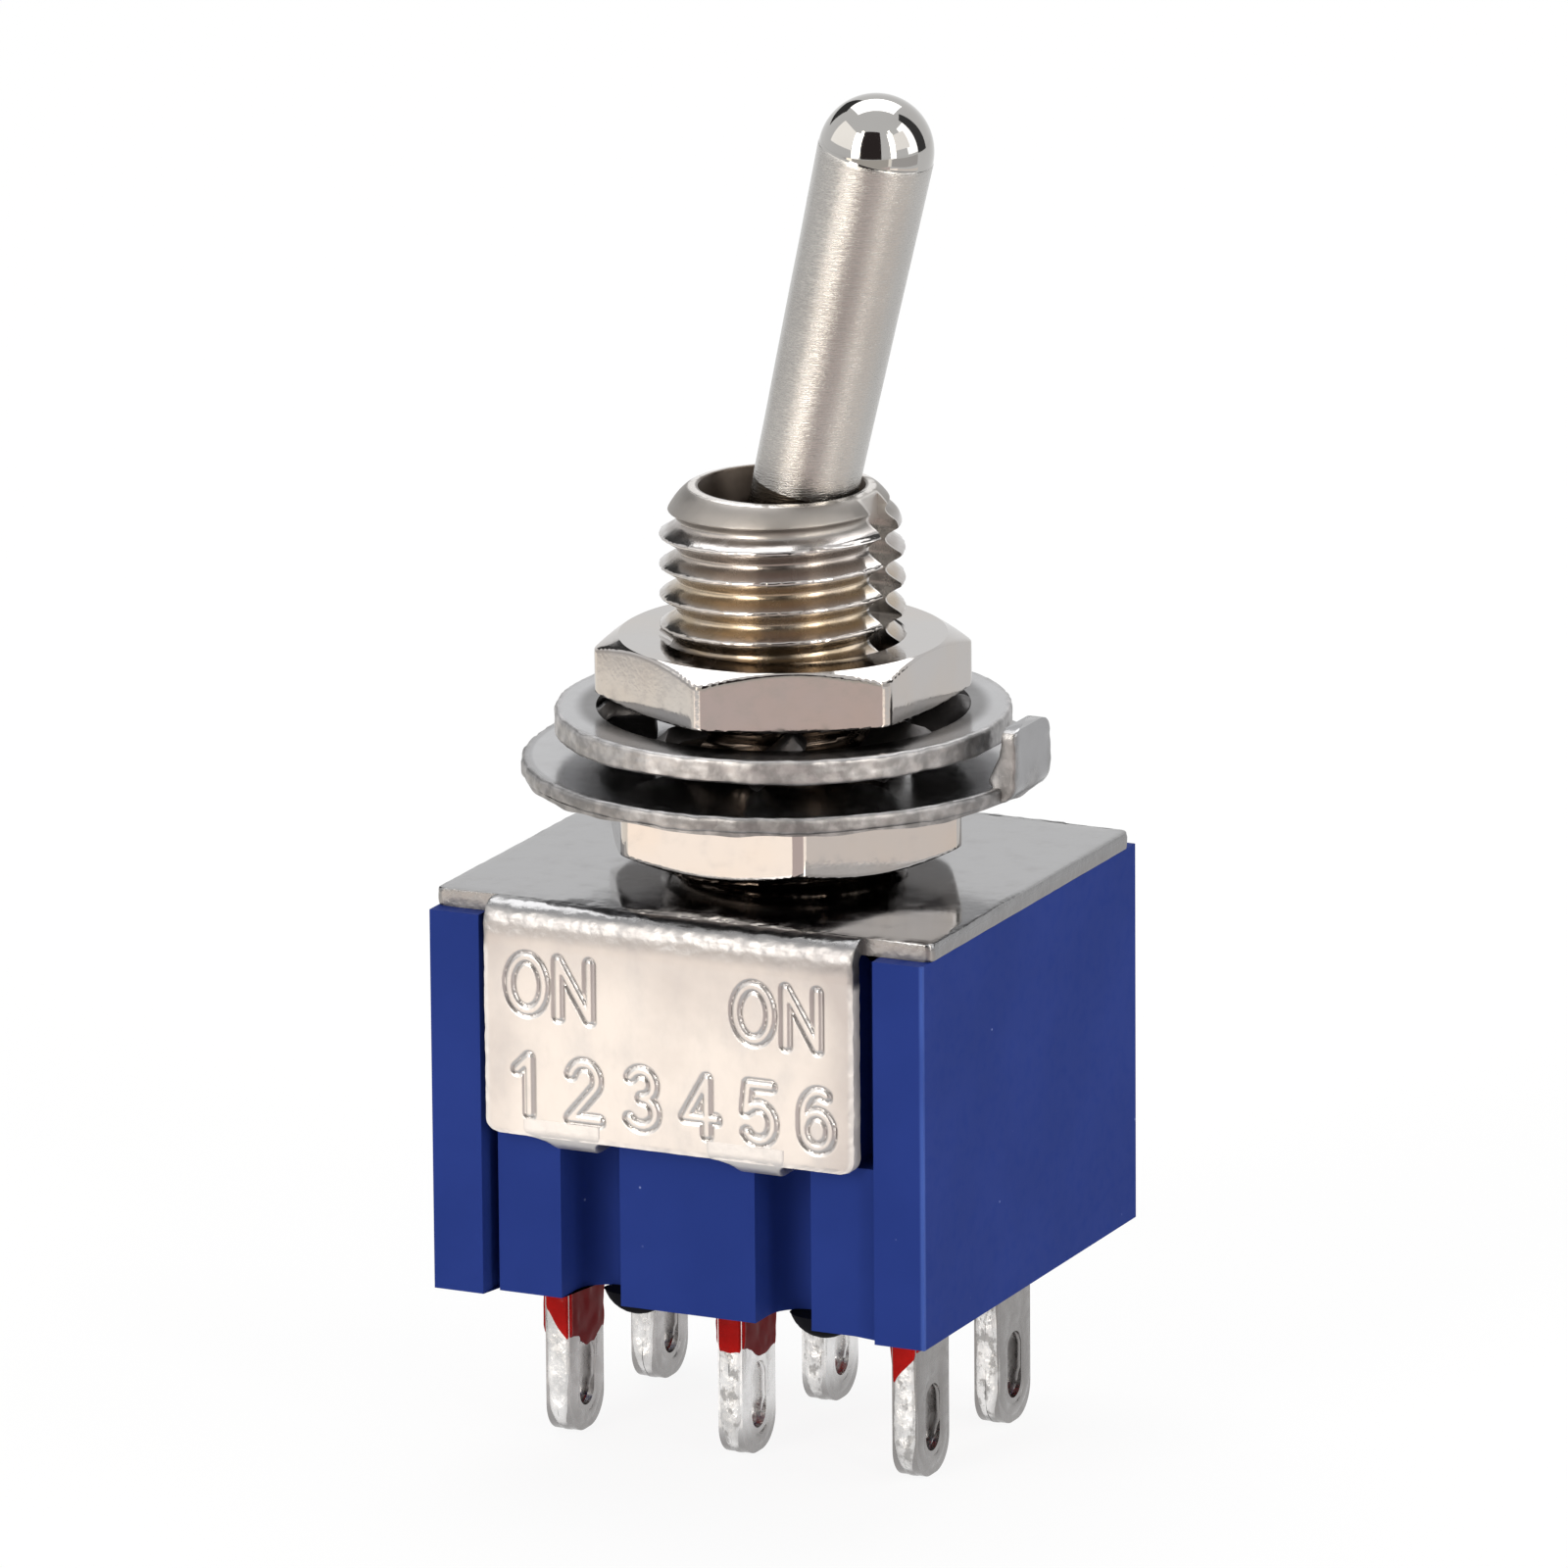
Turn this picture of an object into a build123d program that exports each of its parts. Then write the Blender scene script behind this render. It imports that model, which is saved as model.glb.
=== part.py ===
from build123d import *

import os
from math import asin, atan2, cos, degrees, hypot, pi, radians, sin, sqrt, tan

# Miniature two-pole toggle switch with a threaded bushing, a bent frame and six solder lugs.
# Millimetres. The origin is on the bushing's axis, in the face that a panel rests on, which is
# the top of the locating washer. +Z runs up the bushing, the lever tilts along X, and the
# front flap faces -Y. The lever is modelled where it rests, leaning towards +X.

# Thread and bushing
thread_r = 3.0
thread_pitch = 0.75
bushing_top = 6.73
mouth_chamfer = 0.68
mouth_rim_w = 0.1
mouth_r = 2.05
throat_r = 1.62
flare_top = -0.4
flare_r = 2.56
flange_r = 3.6
flange_t = 0.5
keyway_w = 1.1
keyway_floor = 2.35

# Mounting hardware
nut_flats = 8.0
upper_nut_t = 1.5
lower_nut_t = 1.8
nut_chamfer = 0.3
nut_plain_chamfer = 0.12
nut_countersink = 0.2
upper_nut_turn = 27.5
lower_nut_turn = -0.7
under_nut_gap = 0.5
washer_hole_r = 3.1
locating_r = 6.4
locating_t = 0.4
key_clearance = 0.05
tab_root = 1.0
tab_edge_r = 0.18
tab_stand = 0.3
tab_w = 2.1
tab_h = 1.45
tab_bend_r = 0.15
lock_r = 5.6
lock_rim_w = 1.1
lock_t = 0.55
lock_h = 1.5
lock_rim_lift = 0.13
tooth_count = 8
tooth_w = 1.6
tooth_overlap = 0.33

# Frame bracket
plate_t = 0.45
plate_x = 13.34
plate_y = 10.8
plate_corner_r = 0.4
flap_w = 9.8
flap_face_y = 6.43
flap_foot = -8.53
flap_corner_r = 0.35
bend_inner_r = 0.15
hook_x = 2.5
hook_w = 1.4
hook_root_r = 0.3
hook_bend_r = 0.55
hook_reach = 1.4
hook_drop = 0.37
neck_clearance = 0.02

# Housing
housing_x = 13.2
housing_y = 12.5
housing_h = 9.55
housing_edge_r = 0.12
recess_w = 10.4
recess_floor_y = 5.4
pad_w = 9.1
pad_chamfer = 0.3
flap_clearance = 0.02
slot_floor_y = 4.9
groove_w = 1.6
groove_floor_y = 4.4
end_room = 0.525
cavity_w = 8.0
barrier_w = 1.4
barrier_clearance = 0.3
floor_t = 0.7
resin_pocket_x = 11.5
resin_pocket_y = 7.5
resin_pocket_h = 0.6
resin_pocket_r = 0.5

# Terminals and resin
column_pitch = 4.7
row_pitch = 4.8
blade_t = 0.65
blade_w = 1.9
blade_length = 4.44
blade_tip_r = 0.8
blade_clearance = 0.02
eye_w = 0.8
eye_h = 1.7
eye_foot = 0.6
foot_t = 0.5
foot_inner_x = 3.35
resin_below = 0.05
collar_t = 0.07
collar_h = 2.1
collar_front_rise = 0.3
collar_low_y = -0.2
collar_rear_rise = 0.7

# Lever, carrier and plungers, with distances measured down or up the lever from its pivot
pivot_z = 4.0
lean = 13.0
ball_r = 1.95
ball_clearance = 0.05
lever_tip_r = 1.42
lever_base_r = 1.29
lever_neck_r = 1.2
lever_length = 12.94
neck_to_base = 0.9
arm_r = 0.65
carrier_top = 8.4
carrier_h = 2.6
carrier_x = 2.6
carrier_y = 6.7
carrier_chamfer = 0.2
arm_hole_depth = 2.0
arm_fit = 0.02
spring_bore_floor = 0.45
spring_h = 1.2
spring_wire_w = 0.17
spring_r = 0.52
spring_turns = 3
plunger_r = 0.72
plunger_fit = 0.06
tip_stand = 0.9
plunger_gap = 0.05

# Rocking contacts and fixed contacts
fulcrum_stand = 1.4
fulcrum_clearance = 0.035
rocker_w = 1.8
rocker_t = 0.4
rocker_lean = 8.0
cradle_half = 3.1
rocker_half = 4.6
saddle_half = 0.75
button_x = 4.0
button_r = 0.6
button_h = 0.3
contact_gap = 0.03

# Places, heights and radii that follow from the sizes above
pitch_r = thread_r - 0.325 * thread_pitch
bore_r = ball_r + ball_clearance
lower_nut_top = -locating_t
lower_nut_foot = lower_nut_top - lower_nut_t
upper_nut_top = lock_h + upper_nut_t
plate_top = lower_nut_foot - under_nut_gap
plate_foot = plate_top - plate_t
housing_foot = plate_foot - housing_h
blade_tip = housing_foot - blade_length
tab_face_x = locating_r + tab_stand
room_end_x = column_pitch + blade_t / 2 + end_room
flap_inner_y = flap_face_y - plate_t
shoulder_z = flap_foot - hook_drop + plate_t
carrier_foot = carrier_top + carrier_h
spring_top = carrier_top + spring_bore_floor
plunger_top = spring_top + spring_h
resin_top = housing_foot + resin_pocket_h
barrier_top = pivot_z - carrier_foot - barrier_clearance
channel_floor = resin_top + floor_t
fulcrum_z = channel_floor + fulcrum_stand
plunger_tip = pivot_z - fulcrum_z - tip_stand
beyond = 1.0  # how far a cutting shape runs past the face that it opens
SIDES = {"front": -1, "rear": 1}
ENDS = {"left": -1, "right": 1}


def box(x, y, z):
    """A box that spans the three given (low, high) pairs."""
    size = [high - low for low, high in (x, y, z)]
    middle = [(high + low) / 2 for low, high in (x, y, z)]
    return Pos(*middle) * Box(*size)


def rod(radius, low, high):
    """A cylinder about Z from one height to another."""
    return Pos(0, 0, low) * extrude(Circle(radius), high - low)


def turned(points):
    """A solid turned about Z from its profile's (radius, height) points."""
    profile = make_face(Polyline(*[(r, 0, z) for r, z in points], close=True))
    return revolve(profile, Axis.Z)


def across(sketch, width, x=0):
    """A YZ sketch, given as (y, z), made width thick across X about x."""
    return Pos(x - width / 2, 0, 0) * extrude(Plane.YZ * sketch, width)


def leaned(shape):
    """Takes a shape from the upright lever's frame, with its pivot at the origin, to rest."""
    return Pos(0, 0, pivot_z) * Rot(0, lean, 0) * shape


def bushing():
    """Threaded bushing with a ball seat, a mouth for the lever and a keyway down its side.

    Inside the nuts, screw and nut meet on the pitch cylinder. The rest has the crest radius.
    """
    bands = [
        (thread_r, plate_foot, lower_nut_foot),
        (pitch_r, lower_nut_foot, lower_nut_top),
        (thread_r, lower_nut_top, lock_h),
        (pitch_r, lock_h, upper_nut_top),
        (thread_r, upper_nut_top, bushing_top - mouth_chamfer),
    ]
    outline = [(flange_r, plate_foot - flange_t), (flange_r, plate_foot)]
    for radius, low, high in bands:
        outline += [(radius, low), (radius, high)]
    outline += [(mouth_r + mouth_rim_w, bushing_top), (0, bushing_top), (0, plate_foot - flange_t)]
    body = turned(outline)
    seat_h = sqrt(bore_r**2 - throat_r**2)
    hole = turned(
        [
            (0, plate_foot - flange_t),
            (flare_r, plate_foot - flange_t),
            (bore_r, flare_top),
            (bore_r, pivot_z),
            (0, pivot_z),
        ]
    )
    seat = Pos(0, 0, pivot_z) * Sphere(bore_r)
    seat &= box((-bore_r, bore_r), (-bore_r, bore_r), (pivot_z, pivot_z + seat_h))
    mouth = turned(
        [
            (0, pivot_z + seat_h),
            (throat_r, pivot_z + seat_h),
            (mouth_r, bushing_top),
            (0, bushing_top),
        ]
    )
    keyway = box(
        (keyway_floor, flange_r + beyond), (-keyway_w / 2, keyway_w / 2), (plate_top, bushing_top)
    )
    return body - hole - seat - mouth - keyway


def nut(low, high, turn, foot_chamfer, top_chamfer):
    """Thin hexagon nut between two heights. Each end has its own chamfer at the corners."""
    corner_r = nut_flats / 2 / cos(pi / 6)
    blank = Pos(0, 0, low) * Rot(0, 0, turn) * extrude(
        RegularPolygon(nut_flats / 2, 6, major_radius=False), high - low
    )
    rounded = turned(
        [
            (0, low),
            (nut_flats / 2, low),
            (corner_r, low + foot_chamfer),
            (corner_r, high - top_chamfer),
            (nut_flats / 2, high),
            (0, high),
        ]
    )
    hole = turned(
        [
            (0, low),
            (pitch_r + nut_countersink, low),
            (pitch_r, low + nut_countersink),
            (pitch_r, high - nut_countersink),
            (pitch_r + nut_countersink, high),
            (0, high),
        ]
    )
    return (blank & rounded) - hole


def lock_washer():
    """Internal-tooth washer. Its twisted teeth span the gap from seat to nut, clear of the rim."""
    middle = lock_h / 2
    rim_low = middle + lock_rim_lift - lock_t / 2
    rim_high = rim_low + lock_t
    rim = rod(lock_r, rim_low, rim_high) - rod(lock_r - lock_rim_w, rim_low, rim_high)
    twist = degrees(asin(lock_h / hypot(tooth_w, lock_t)) - atan2(lock_t, tooth_w))
    root = lock_r - lock_rim_w + tooth_overlap
    tooth = box((washer_hole_r, root), (-tooth_w / 2, tooth_w / 2), (-lock_t / 2, lock_t / 2))
    tooth = Pos(0, 0, middle) * Rot(twist, 0, 0) * tooth
    teeth = [Rot(0, 0, 360 / tooth_count * (i + 0.5)) * tooth for i in range(tooth_count)]
    return rim + teeth - rod(washer_hole_r, 0, lock_h)


def locating_washer():
    """Flat ring with a key that runs in the keyway and one tab bent up at the +X side."""
    ring = rod(locating_r, -locating_t, 0) - rod(washer_hole_r, -locating_t, 0)
    key = box(
        (keyway_floor + key_clearance, washer_hole_r + key_clearance),
        (key_clearance - keyway_w / 2, keyway_w / 2 - key_clearance),
        (-locating_t, 0),
    )
    outer_r = tab_bend_r + locating_t
    foot = make_face(
        Polyline(
            (locating_r - tab_root, -locating_t),
            (tab_face_x, -locating_t),
            (tab_face_x, tab_h),
            (tab_face_x - locating_t, tab_h),
            (tab_face_x - locating_t, 0),
            (locating_r - tab_root, 0),
            close=True,
        )
    )
    tab = Pos(0, tab_w / 2, 0) * extrude(Plane.XZ * foot, tab_w)
    lengthwise = tab.edges().filter_by(Axis.Y)
    outside = lengthwise.sort_by_distance((tab_face_x, 0, -locating_t))[0]
    tab = fillet(outside, outer_r)
    inside = tab.edges().filter_by(Axis.Y).sort_by_distance((tab_face_x - locating_t, 0, 0))[0]
    tab = fillet(inside, tab_bend_r)
    top = tab.faces().sort_by(Axis.Z)[-1]
    tab = fillet(top.edges().filter_by(Axis.X), tab_edge_r)
    return ring + key + tab


def frame_bracket():
    """One bent sheet: a flat top with four ears, two flaps, and hooks clinched under the case."""
    top = extrude(RectangleRounded(plate_x, plate_y, plate_corner_r), plate_t)
    top = Pos(0, 0, plate_foot) * top
    outer_r = bend_inner_r + plate_t
    outside = make_face(
        Polyline(
            (-flap_face_y, flap_foot),
            (-flap_face_y, plate_top),
            (flap_face_y, plate_top),
            (flap_face_y, flap_foot),
            close=True,
        )
    )
    outside = fillet(outside.vertices().group_by(Axis.Y)[-1], outer_r)
    inside = make_face(
        Polyline(
            (-flap_inner_y, flap_foot),
            (-flap_inner_y, plate_foot),
            (flap_inner_y, plate_foot),
            (flap_inner_y, flap_foot),
            close=True,
        )
    )
    inside = fillet(inside.vertices().group_by(Axis.Y)[-1], bend_inner_r)
    strip = across(outside - inside, flap_w)
    corners = strip.edges().filter_by(Axis.Y).group_by(Axis.Z)[0]
    strip = fillet(corners, flap_corner_r)
    hooks = [hook(side, x) for side in SIDES.values() for x in (-hook_x, hook_x)]
    hole = rod(thread_r + neck_clearance, plate_foot, plate_top)
    return strip + top + hooks - hole


def hook(side, x):
    """A hook that leaves the flap's foot and turns in under the housing's shoulder."""
    foot = flap_foot - hook_drop
    root = foot + hook_bend_r
    points = [
        (flap_face_y, root),
        (flap_face_y, foot),
        (flap_face_y - hook_reach, foot),
        (flap_face_y - hook_reach, foot + plate_t),
        (flap_inner_y, foot + plate_t),
        (flap_inner_y, root),
    ]
    profile = make_face(Polyline(*[(side * y, z) for y, z in points], close=True))
    bend = profile.vertices().sort_by_distance((side * flap_face_y, foot))[0]
    profile = fillet(bend, hook_bend_r)
    return across(profile, hook_w, x) + hook_root(profile, side, x)


def hook_root(profile, side, x):
    """The part of a hook beside the flap's foot, which it leaves with a fillet on each side."""
    half = hook_w / 2
    wide = half + hook_root_r
    low = flap_foot - hook_root_r
    arc_in = hook_root_r * (1 - sin(pi / 4))
    outline = make_face(
        [
            ThreePointArc((-half, low), (-half - arc_in, flap_foot - arc_in), (-wide, flap_foot)),
            Polyline(
                (-wide, flap_foot),
                (-wide, flap_foot + plate_t),
                (wide, flap_foot + plate_t),
                (wide, flap_foot),
            ),
            ThreePointArc((wide, flap_foot), (half + arc_in, flap_foot - arc_in), (half, low)),
            Line((half, low), (-half, low)),
        ]
    )
    outer_half = sorted((side * flap_inner_y, side * (flap_face_y + beyond)))
    front = Pos(x, outer_half[1], 0) * extrude(Plane.XZ * outline, outer_half[1] - outer_half[0])
    return across(profile, 2 * wide, x) & front


def housing():
    """Moulded case: corner pillars, a pad behind each flap, grooves for the hooks, two channels."""
    case = box(
        (-housing_x / 2, housing_x / 2), (-housing_y / 2, housing_y / 2), (housing_foot, plate_foot)
    )
    rounded = case.edges().filter_by(Axis.Z) + case.faces().sort_by(Axis.Z)[0].edges()
    case = fillet(rounded, housing_edge_r)
    for side in SIDES.values():
        case = case - flap_recess(side) + flap_pad(side)
        for x in (-hook_x, hook_x):
            case -= hook_groove(side, x)
    return case - inside_space() - blade_slots() - resin_pocket()


def flap_recess(side):
    """The recess between two pillars, with a deeper slot beside each edge of the flap."""
    out = side * (housing_y / 2 + beyond)
    near = sorted((side * recess_floor_y, out))
    deep = sorted((side * slot_floor_y, out))
    recess = box((-recess_w / 2, recess_w / 2), near, (housing_foot - beyond, plate_foot + beyond))
    slots = [
        box(sorted((end * pad_w / 2, end * recess_w / 2)), deep, (shoulder_z, plate_foot + beyond))
        for end in ENDS.values()
    ]
    return recess + slots


def flap_pad(side):
    """The raised pad that backs the flap. Its foot is the shoulder that the hooks turn under."""
    face_y = flap_inner_y - flap_clearance
    points = [
        (slot_floor_y, shoulder_z),
        (face_y, shoulder_z),
        (face_y, plate_foot - pad_chamfer),
        (face_y - pad_chamfer, plate_foot),
        (slot_floor_y, plate_foot),
    ]
    profile = make_face(Polyline(*[(side * y, z) for y, z in points], close=True))
    return across(profile, pad_w)


def hook_groove(side, x):
    """A round-bottomed groove from the shoulder to the foot of the case."""
    radius = groove_w / 2
    centre_y = side * (groove_floor_y + radius)
    height = shoulder_z - housing_foot + beyond
    round_end = Pos(x, centre_y, shoulder_z - height / 2) * Cylinder(radius, height)
    out = sorted((centre_y, side * (housing_y / 2 + beyond)))
    return round_end + box((x - radius, x + radius), out, (shoulder_z - height, shoulder_z))


def inside_space():
    """The room under the bracket for the carrier, and below it a channel for each pole."""
    along = (-room_end_x, room_end_x)
    room = box(along, (-cavity_w / 2, cavity_w / 2), (barrier_top, plate_foot))
    for side in SIDES.values():
        span = sorted((side * barrier_w / 2, side * cavity_w / 2))
        room += box(along, span, (channel_floor, barrier_top))
    return room


def blade_places():
    """The (x, y, side, column) of the six terminals."""
    return [
        (column * column_pitch, side * row_pitch / 2, side, column)
        for side in SIDES.values()
        for column in (-1, 0, 1)
    ]


def blade_slots():
    """Slots through the floor for the six blades."""
    half_t = blade_t / 2 + blade_clearance
    half_w = blade_w / 2 + blade_clearance
    return [
        box((x - half_t, x + half_t), (y - half_w, y + half_w), (housing_foot, channel_floor))
        for x, y, _, _ in blade_places()
    ]


def resin_pocket():
    """The shallow pocket under the floor that holds the resin."""
    outline = RectangleRounded(resin_pocket_x, resin_pocket_y, resin_pocket_r)
    return Pos(0, 0, housing_foot) * extrude(outline, resin_pocket_h)


def blade(top):
    """A terminal blade about x = 0 and y = 0, up to the height top, with its eye and round end."""
    half = blade_w / 2
    face = make_face(
        Polyline((-half, blade_tip), (half, blade_tip), (half, top), (-half, top), close=True)
    )
    face = fillet(face.vertices().group_by(Axis.Y)[0], blade_tip_r)
    eye = Pos(0, blade_tip + eye_foot + eye_h / 2) * Rot(0, 0, 90) * SlotOverall(eye_h, eye_w)
    return across(face - eye, blade_t)


def common_terminal():
    """Middle terminal: a blade whose rounded top is the fulcrum of the rocking contact."""
    fulcrum = Pos(0, 0, fulcrum_z) * Rot(90, 0, 0) * Cylinder(blade_t / 2, blade_w)
    return blade(fulcrum_z) + fulcrum


def button_top():
    """The height at which a fixed contact meets the rocker's pad, with the contact gap."""
    lean_rad = radians(rocker_lean)
    pad_face = rocker_pad_top(button_x) - rocker_t / cos(lean_rad)
    return fulcrum_z + pad_face * cos(lean_rad) - button_x * sin(lean_rad) - contact_gap


def throw_terminal(end):
    """Outer terminal: a blade with a foot turned in towards the middle to carry its contact."""
    top = button_top() - button_h
    inward = sorted((end * (foot_inner_x - column_pitch), end * blade_t / 2))
    foot = box(inward, (-blade_w / 2, blade_w / 2), (top - foot_t, top))
    return blade(top) + foot


def fixed_contact(end):
    """Silver button on the foot of an outer terminal."""
    high = button_top()
    return Pos(end * (button_x - column_pitch), 0, 0) * rod(button_r, high - button_h, high)


def cradle_radius():
    """Radius of the rocker's cradle for which the plunger keeps the same gap at rest and midway."""
    reach = plunger_tip - plunger_r
    lean_rad, rock_rad = radians(lean), radians(rocker_lean)
    x = reach * sin(lean_rad)
    z = pivot_z - reach * cos(lean_rad) - fulcrum_z
    across_rocker = x * cos(rock_rad) - z * sin(rock_rad)
    above_low = z * cos(rock_rad) + x * sin(rock_rad) - cradle_low()
    keep = plunger_r + plunger_gap
    return (across_rocker**2 + above_low**2 - keep**2) / (2 * (above_low - keep))


def cradle_low():
    """Height of the cradle's lowest point above the fulcrum."""
    return pivot_z - plunger_tip - fulcrum_z - plunger_gap


def rocker_pad_top(x):
    """Height of the pad's upper face above the fulcrum, x from the middle of the rocker."""
    radius = cradle_radius()
    edge = cradle_low() + radius - sqrt(radius**2 - cradle_half**2)
    return edge + (x - cradle_half) * tan(radians(rocker_lean))


def rocker():
    """Rocking contact: a cradle for the plunger, a pad at each end, a saddle on the fulcrum."""
    radius = cradle_radius()
    low = cradle_low()
    edge = rocker_pad_top(cradle_half)
    end = rocker_pad_top(rocker_half)
    drop = rocker_t / cos(radians(rocker_lean))
    sole = ThreePointArc(
        (-cradle_half, edge - drop), (0, low - rocker_t), (cradle_half, edge - drop)
    )
    cradle = ThreePointArc((cradle_half, edge), (0, low), (-cradle_half, edge))
    right = Polyline(
        (cradle_half, edge - drop),
        (rocker_half, end - drop),
        (rocker_half, end),
        (cradle_half, edge),
    )
    left = Polyline(
        (-cradle_half, edge),
        (-rocker_half, end),
        (-rocker_half, end - drop),
        (-cradle_half, edge - drop),
    )
    section = make_face([sole, right, cradle, left])
    saddle_h = low - rocker_t / 2
    section += Pos(0, saddle_h / 2) * Rectangle(2 * saddle_half, saddle_h)
    section -= Circle(blade_t / 2 + fulcrum_clearance)
    strip = Pos(0, rocker_w / 2, 0) * extrude(Plane.XZ * section, rocker_w)
    return Pos(0, 0, fulcrum_z) * Rot(0, -rocker_lean, 0) * strip


def lever():
    """Turned bat with a domed tip, a ball in the bushing's seat, and an arm for the carrier."""
    tip_z = lever_length - lever_tip_r
    neck_z = sqrt(ball_r**2 - lever_neck_r**2)
    shaft = turned(
        [
            (0, 0),
            (lever_neck_r, 0),
            (lever_neck_r, neck_z),
            (lever_base_r, neck_z + neck_to_base),
            (lever_tip_r, tip_z),
            (0, tip_z),
        ]
    )
    dome = Pos(0, 0, tip_z) * Sphere(lever_tip_r)
    arm_foot = -(carrier_top + arm_hole_depth)
    arm = Pos(0, 0, arm_foot / 2) * Cylinder(arm_r, -arm_foot)
    return leaned(shaft + dome + Sphere(ball_r) + arm)


def plunger_carrier():
    """Nylon block on the lever's arm, with a spring bore for each pole."""
    half_x, half_y = carrier_x / 2, carrier_y / 2
    block = box((-half_x, half_x), (-half_y, half_y), (-carrier_foot, -carrier_top))
    block = chamfer(
        block.edges().filter_by(Axis.Y) + block.edges().filter_by(Axis.Z), carrier_chamfer
    )
    block -= rod(arm_r + arm_fit, -carrier_top - arm_hole_depth, -carrier_top)
    for side in SIDES.values():
        bore = rod(plunger_r + plunger_fit, -carrier_foot, -spring_top)
        block -= Pos(0, side * row_pitch / 2, 0) * bore
    return leaned(block)


def plunger(side):
    """Round-nosed plunger that slides in the carrier and rides on the rocker."""
    nose_z = plunger_r - plunger_tip
    stem = rod(plunger_r, nose_z, -plunger_top)
    return leaned(Pos(0, side * row_pitch / 2, 0) * (stem + Pos(0, 0, nose_z) * Sphere(plunger_r)))


def plunger_spring(side):
    """Compression spring of square wire between the bore's end and the plunger."""
    height = spring_h - 2 * spring_wire_w
    path = Helix(height / spring_turns, height, spring_r)
    section = Plane(path @ 0, z_dir=path % 0) * Rectangle(spring_wire_w, spring_wire_w)
    wire = sweep(section, path, is_frenet=True)
    foot = spring_wire_w - plunger_top
    return leaned(Pos(0, side * row_pitch / 2, foot) * wire)


def collar(x, y):
    """Resin that has climbed one blade, thinner and higher towards the rear of the blade."""
    low = housing_foot - collar_h
    half_w = blade_w / 2 + collar_t
    front = (-half_w, low + collar_front_rise)
    rear = (half_w, low + collar_rear_rise)
    arc = ThreePointArc(front, (collar_low_y, low), rear)
    sides = Polyline(rear, (half_w, resin_top), (-half_w, resin_top), front)
    return Pos(x, y, 0) * across(make_face([arc, sides]), blade_t + 2 * collar_t)


def epoxy_seal():
    """Resin in the pocket under the case, with a collar down the root of each blade."""
    outline = RectangleRounded(resin_pocket_x, resin_pocket_y, resin_pocket_r)
    slab = extrude(outline, resin_pocket_h - resin_below)
    seal = Pos(0, 0, housing_foot + resin_below) * slab
    for x, y, _, _ in blade_places():
        seal += collar(x, y)
    for x, y, _, _ in blade_places():
        seal -= box(
            (x - blade_t / 2, x + blade_t / 2),
            (y - blade_w / 2, y + blade_w / 2),
            (blade_tip, channel_floor),
        )
    return seal


def all_parts():
    """Every piece under its name, in place."""
    parts = {
        "housing": housing(),
        "frame_bracket": frame_bracket(),
        "bushing": bushing(),
        "lever": lever(),
        "upper_nut": nut(
            lock_h, upper_nut_top, upper_nut_turn, nut_plain_chamfer, nut_chamfer
        ),
        "lower_nut": nut(
            lower_nut_foot, lower_nut_top, lower_nut_turn, nut_chamfer, nut_plain_chamfer
        ),
        "lock_washer": lock_washer(),
        "locating_washer": locating_washer(),
        "plunger_carrier": plunger_carrier(),
        "epoxy_seal": epoxy_seal(),
    }
    for row, side in SIDES.items():
        y = side * row_pitch / 2
        parts[f"common_terminal_{row}"] = Pos(0, y, 0) * common_terminal()
        parts[f"rocker_{row}"] = Pos(0, y, 0) * rocker()
        parts[f"plunger_{row}"] = plunger(side)
        parts[f"plunger_spring_{row}"] = plunger_spring(side)
        for name, end in ENDS.items():
            place = Pos(end * column_pitch, y, 0)
            parts[f"throw_terminal_{row}_{name}"] = place * throw_terminal(end)
            parts[f"fixed_contact_{row}_{name}"] = place * fixed_contact(end)
    return parts


os.makedirs("parts", exist_ok=True)
for name, shape in all_parts().items():
    export_step(shape, f"parts/{name}.step")
print("cradle radius", round(cradle_radius(), 3), "button top", round(button_top(), 3))
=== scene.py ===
"""Surfaces, finishes, light and camera of a miniature toggle switch.

Shapes are worked out in millimetres as numpy arrays and become metres in surface().
The origin is on the bushing's axis in the panel seat, +Z up, the front flap faces -Y.
"""

import bmesh
import bpy
import numpy as np
from mathutils import Matrix, Vector


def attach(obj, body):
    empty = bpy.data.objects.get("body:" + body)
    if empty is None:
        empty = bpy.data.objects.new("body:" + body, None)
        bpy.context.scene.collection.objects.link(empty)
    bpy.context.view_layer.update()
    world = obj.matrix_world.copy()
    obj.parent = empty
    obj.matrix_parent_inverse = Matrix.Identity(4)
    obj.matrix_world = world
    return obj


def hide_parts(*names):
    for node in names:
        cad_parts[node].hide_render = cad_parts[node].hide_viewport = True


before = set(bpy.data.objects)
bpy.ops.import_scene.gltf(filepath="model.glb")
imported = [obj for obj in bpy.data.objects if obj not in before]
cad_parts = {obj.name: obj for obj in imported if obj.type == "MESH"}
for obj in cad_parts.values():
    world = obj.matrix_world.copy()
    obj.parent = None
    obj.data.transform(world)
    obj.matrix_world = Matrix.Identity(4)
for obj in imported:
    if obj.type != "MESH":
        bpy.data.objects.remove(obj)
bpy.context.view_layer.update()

TAU = 2 * np.pi
lean = np.radians(13)


# Noise and profiles


def scattered(cells, seed):
    """A repeatable number from 0 to 1 for each whole-number cell, from a folded sine."""
    wave = np.sin(cells @ np.array([127.1, 311.7, 74.7]) + 53.3 * seed) * 43758.5453
    return wave - np.floor(wave)


def noise(points, size, seed=0):
    """Smooth noise from -1 to 1. The values at the corners of a lattice are blended by cubics."""
    place = points / size
    cell = np.floor(place)
    part = place - cell
    part = part * part * (3 - 2 * part)
    total = 0
    for corner in np.ndindex(2, 2, 2):
        share = np.prod(np.where(corner, part, 1 - part), axis=-1)
        total = total + share * scattered(cell + corner, seed)
    return 2 * total - 1


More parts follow.
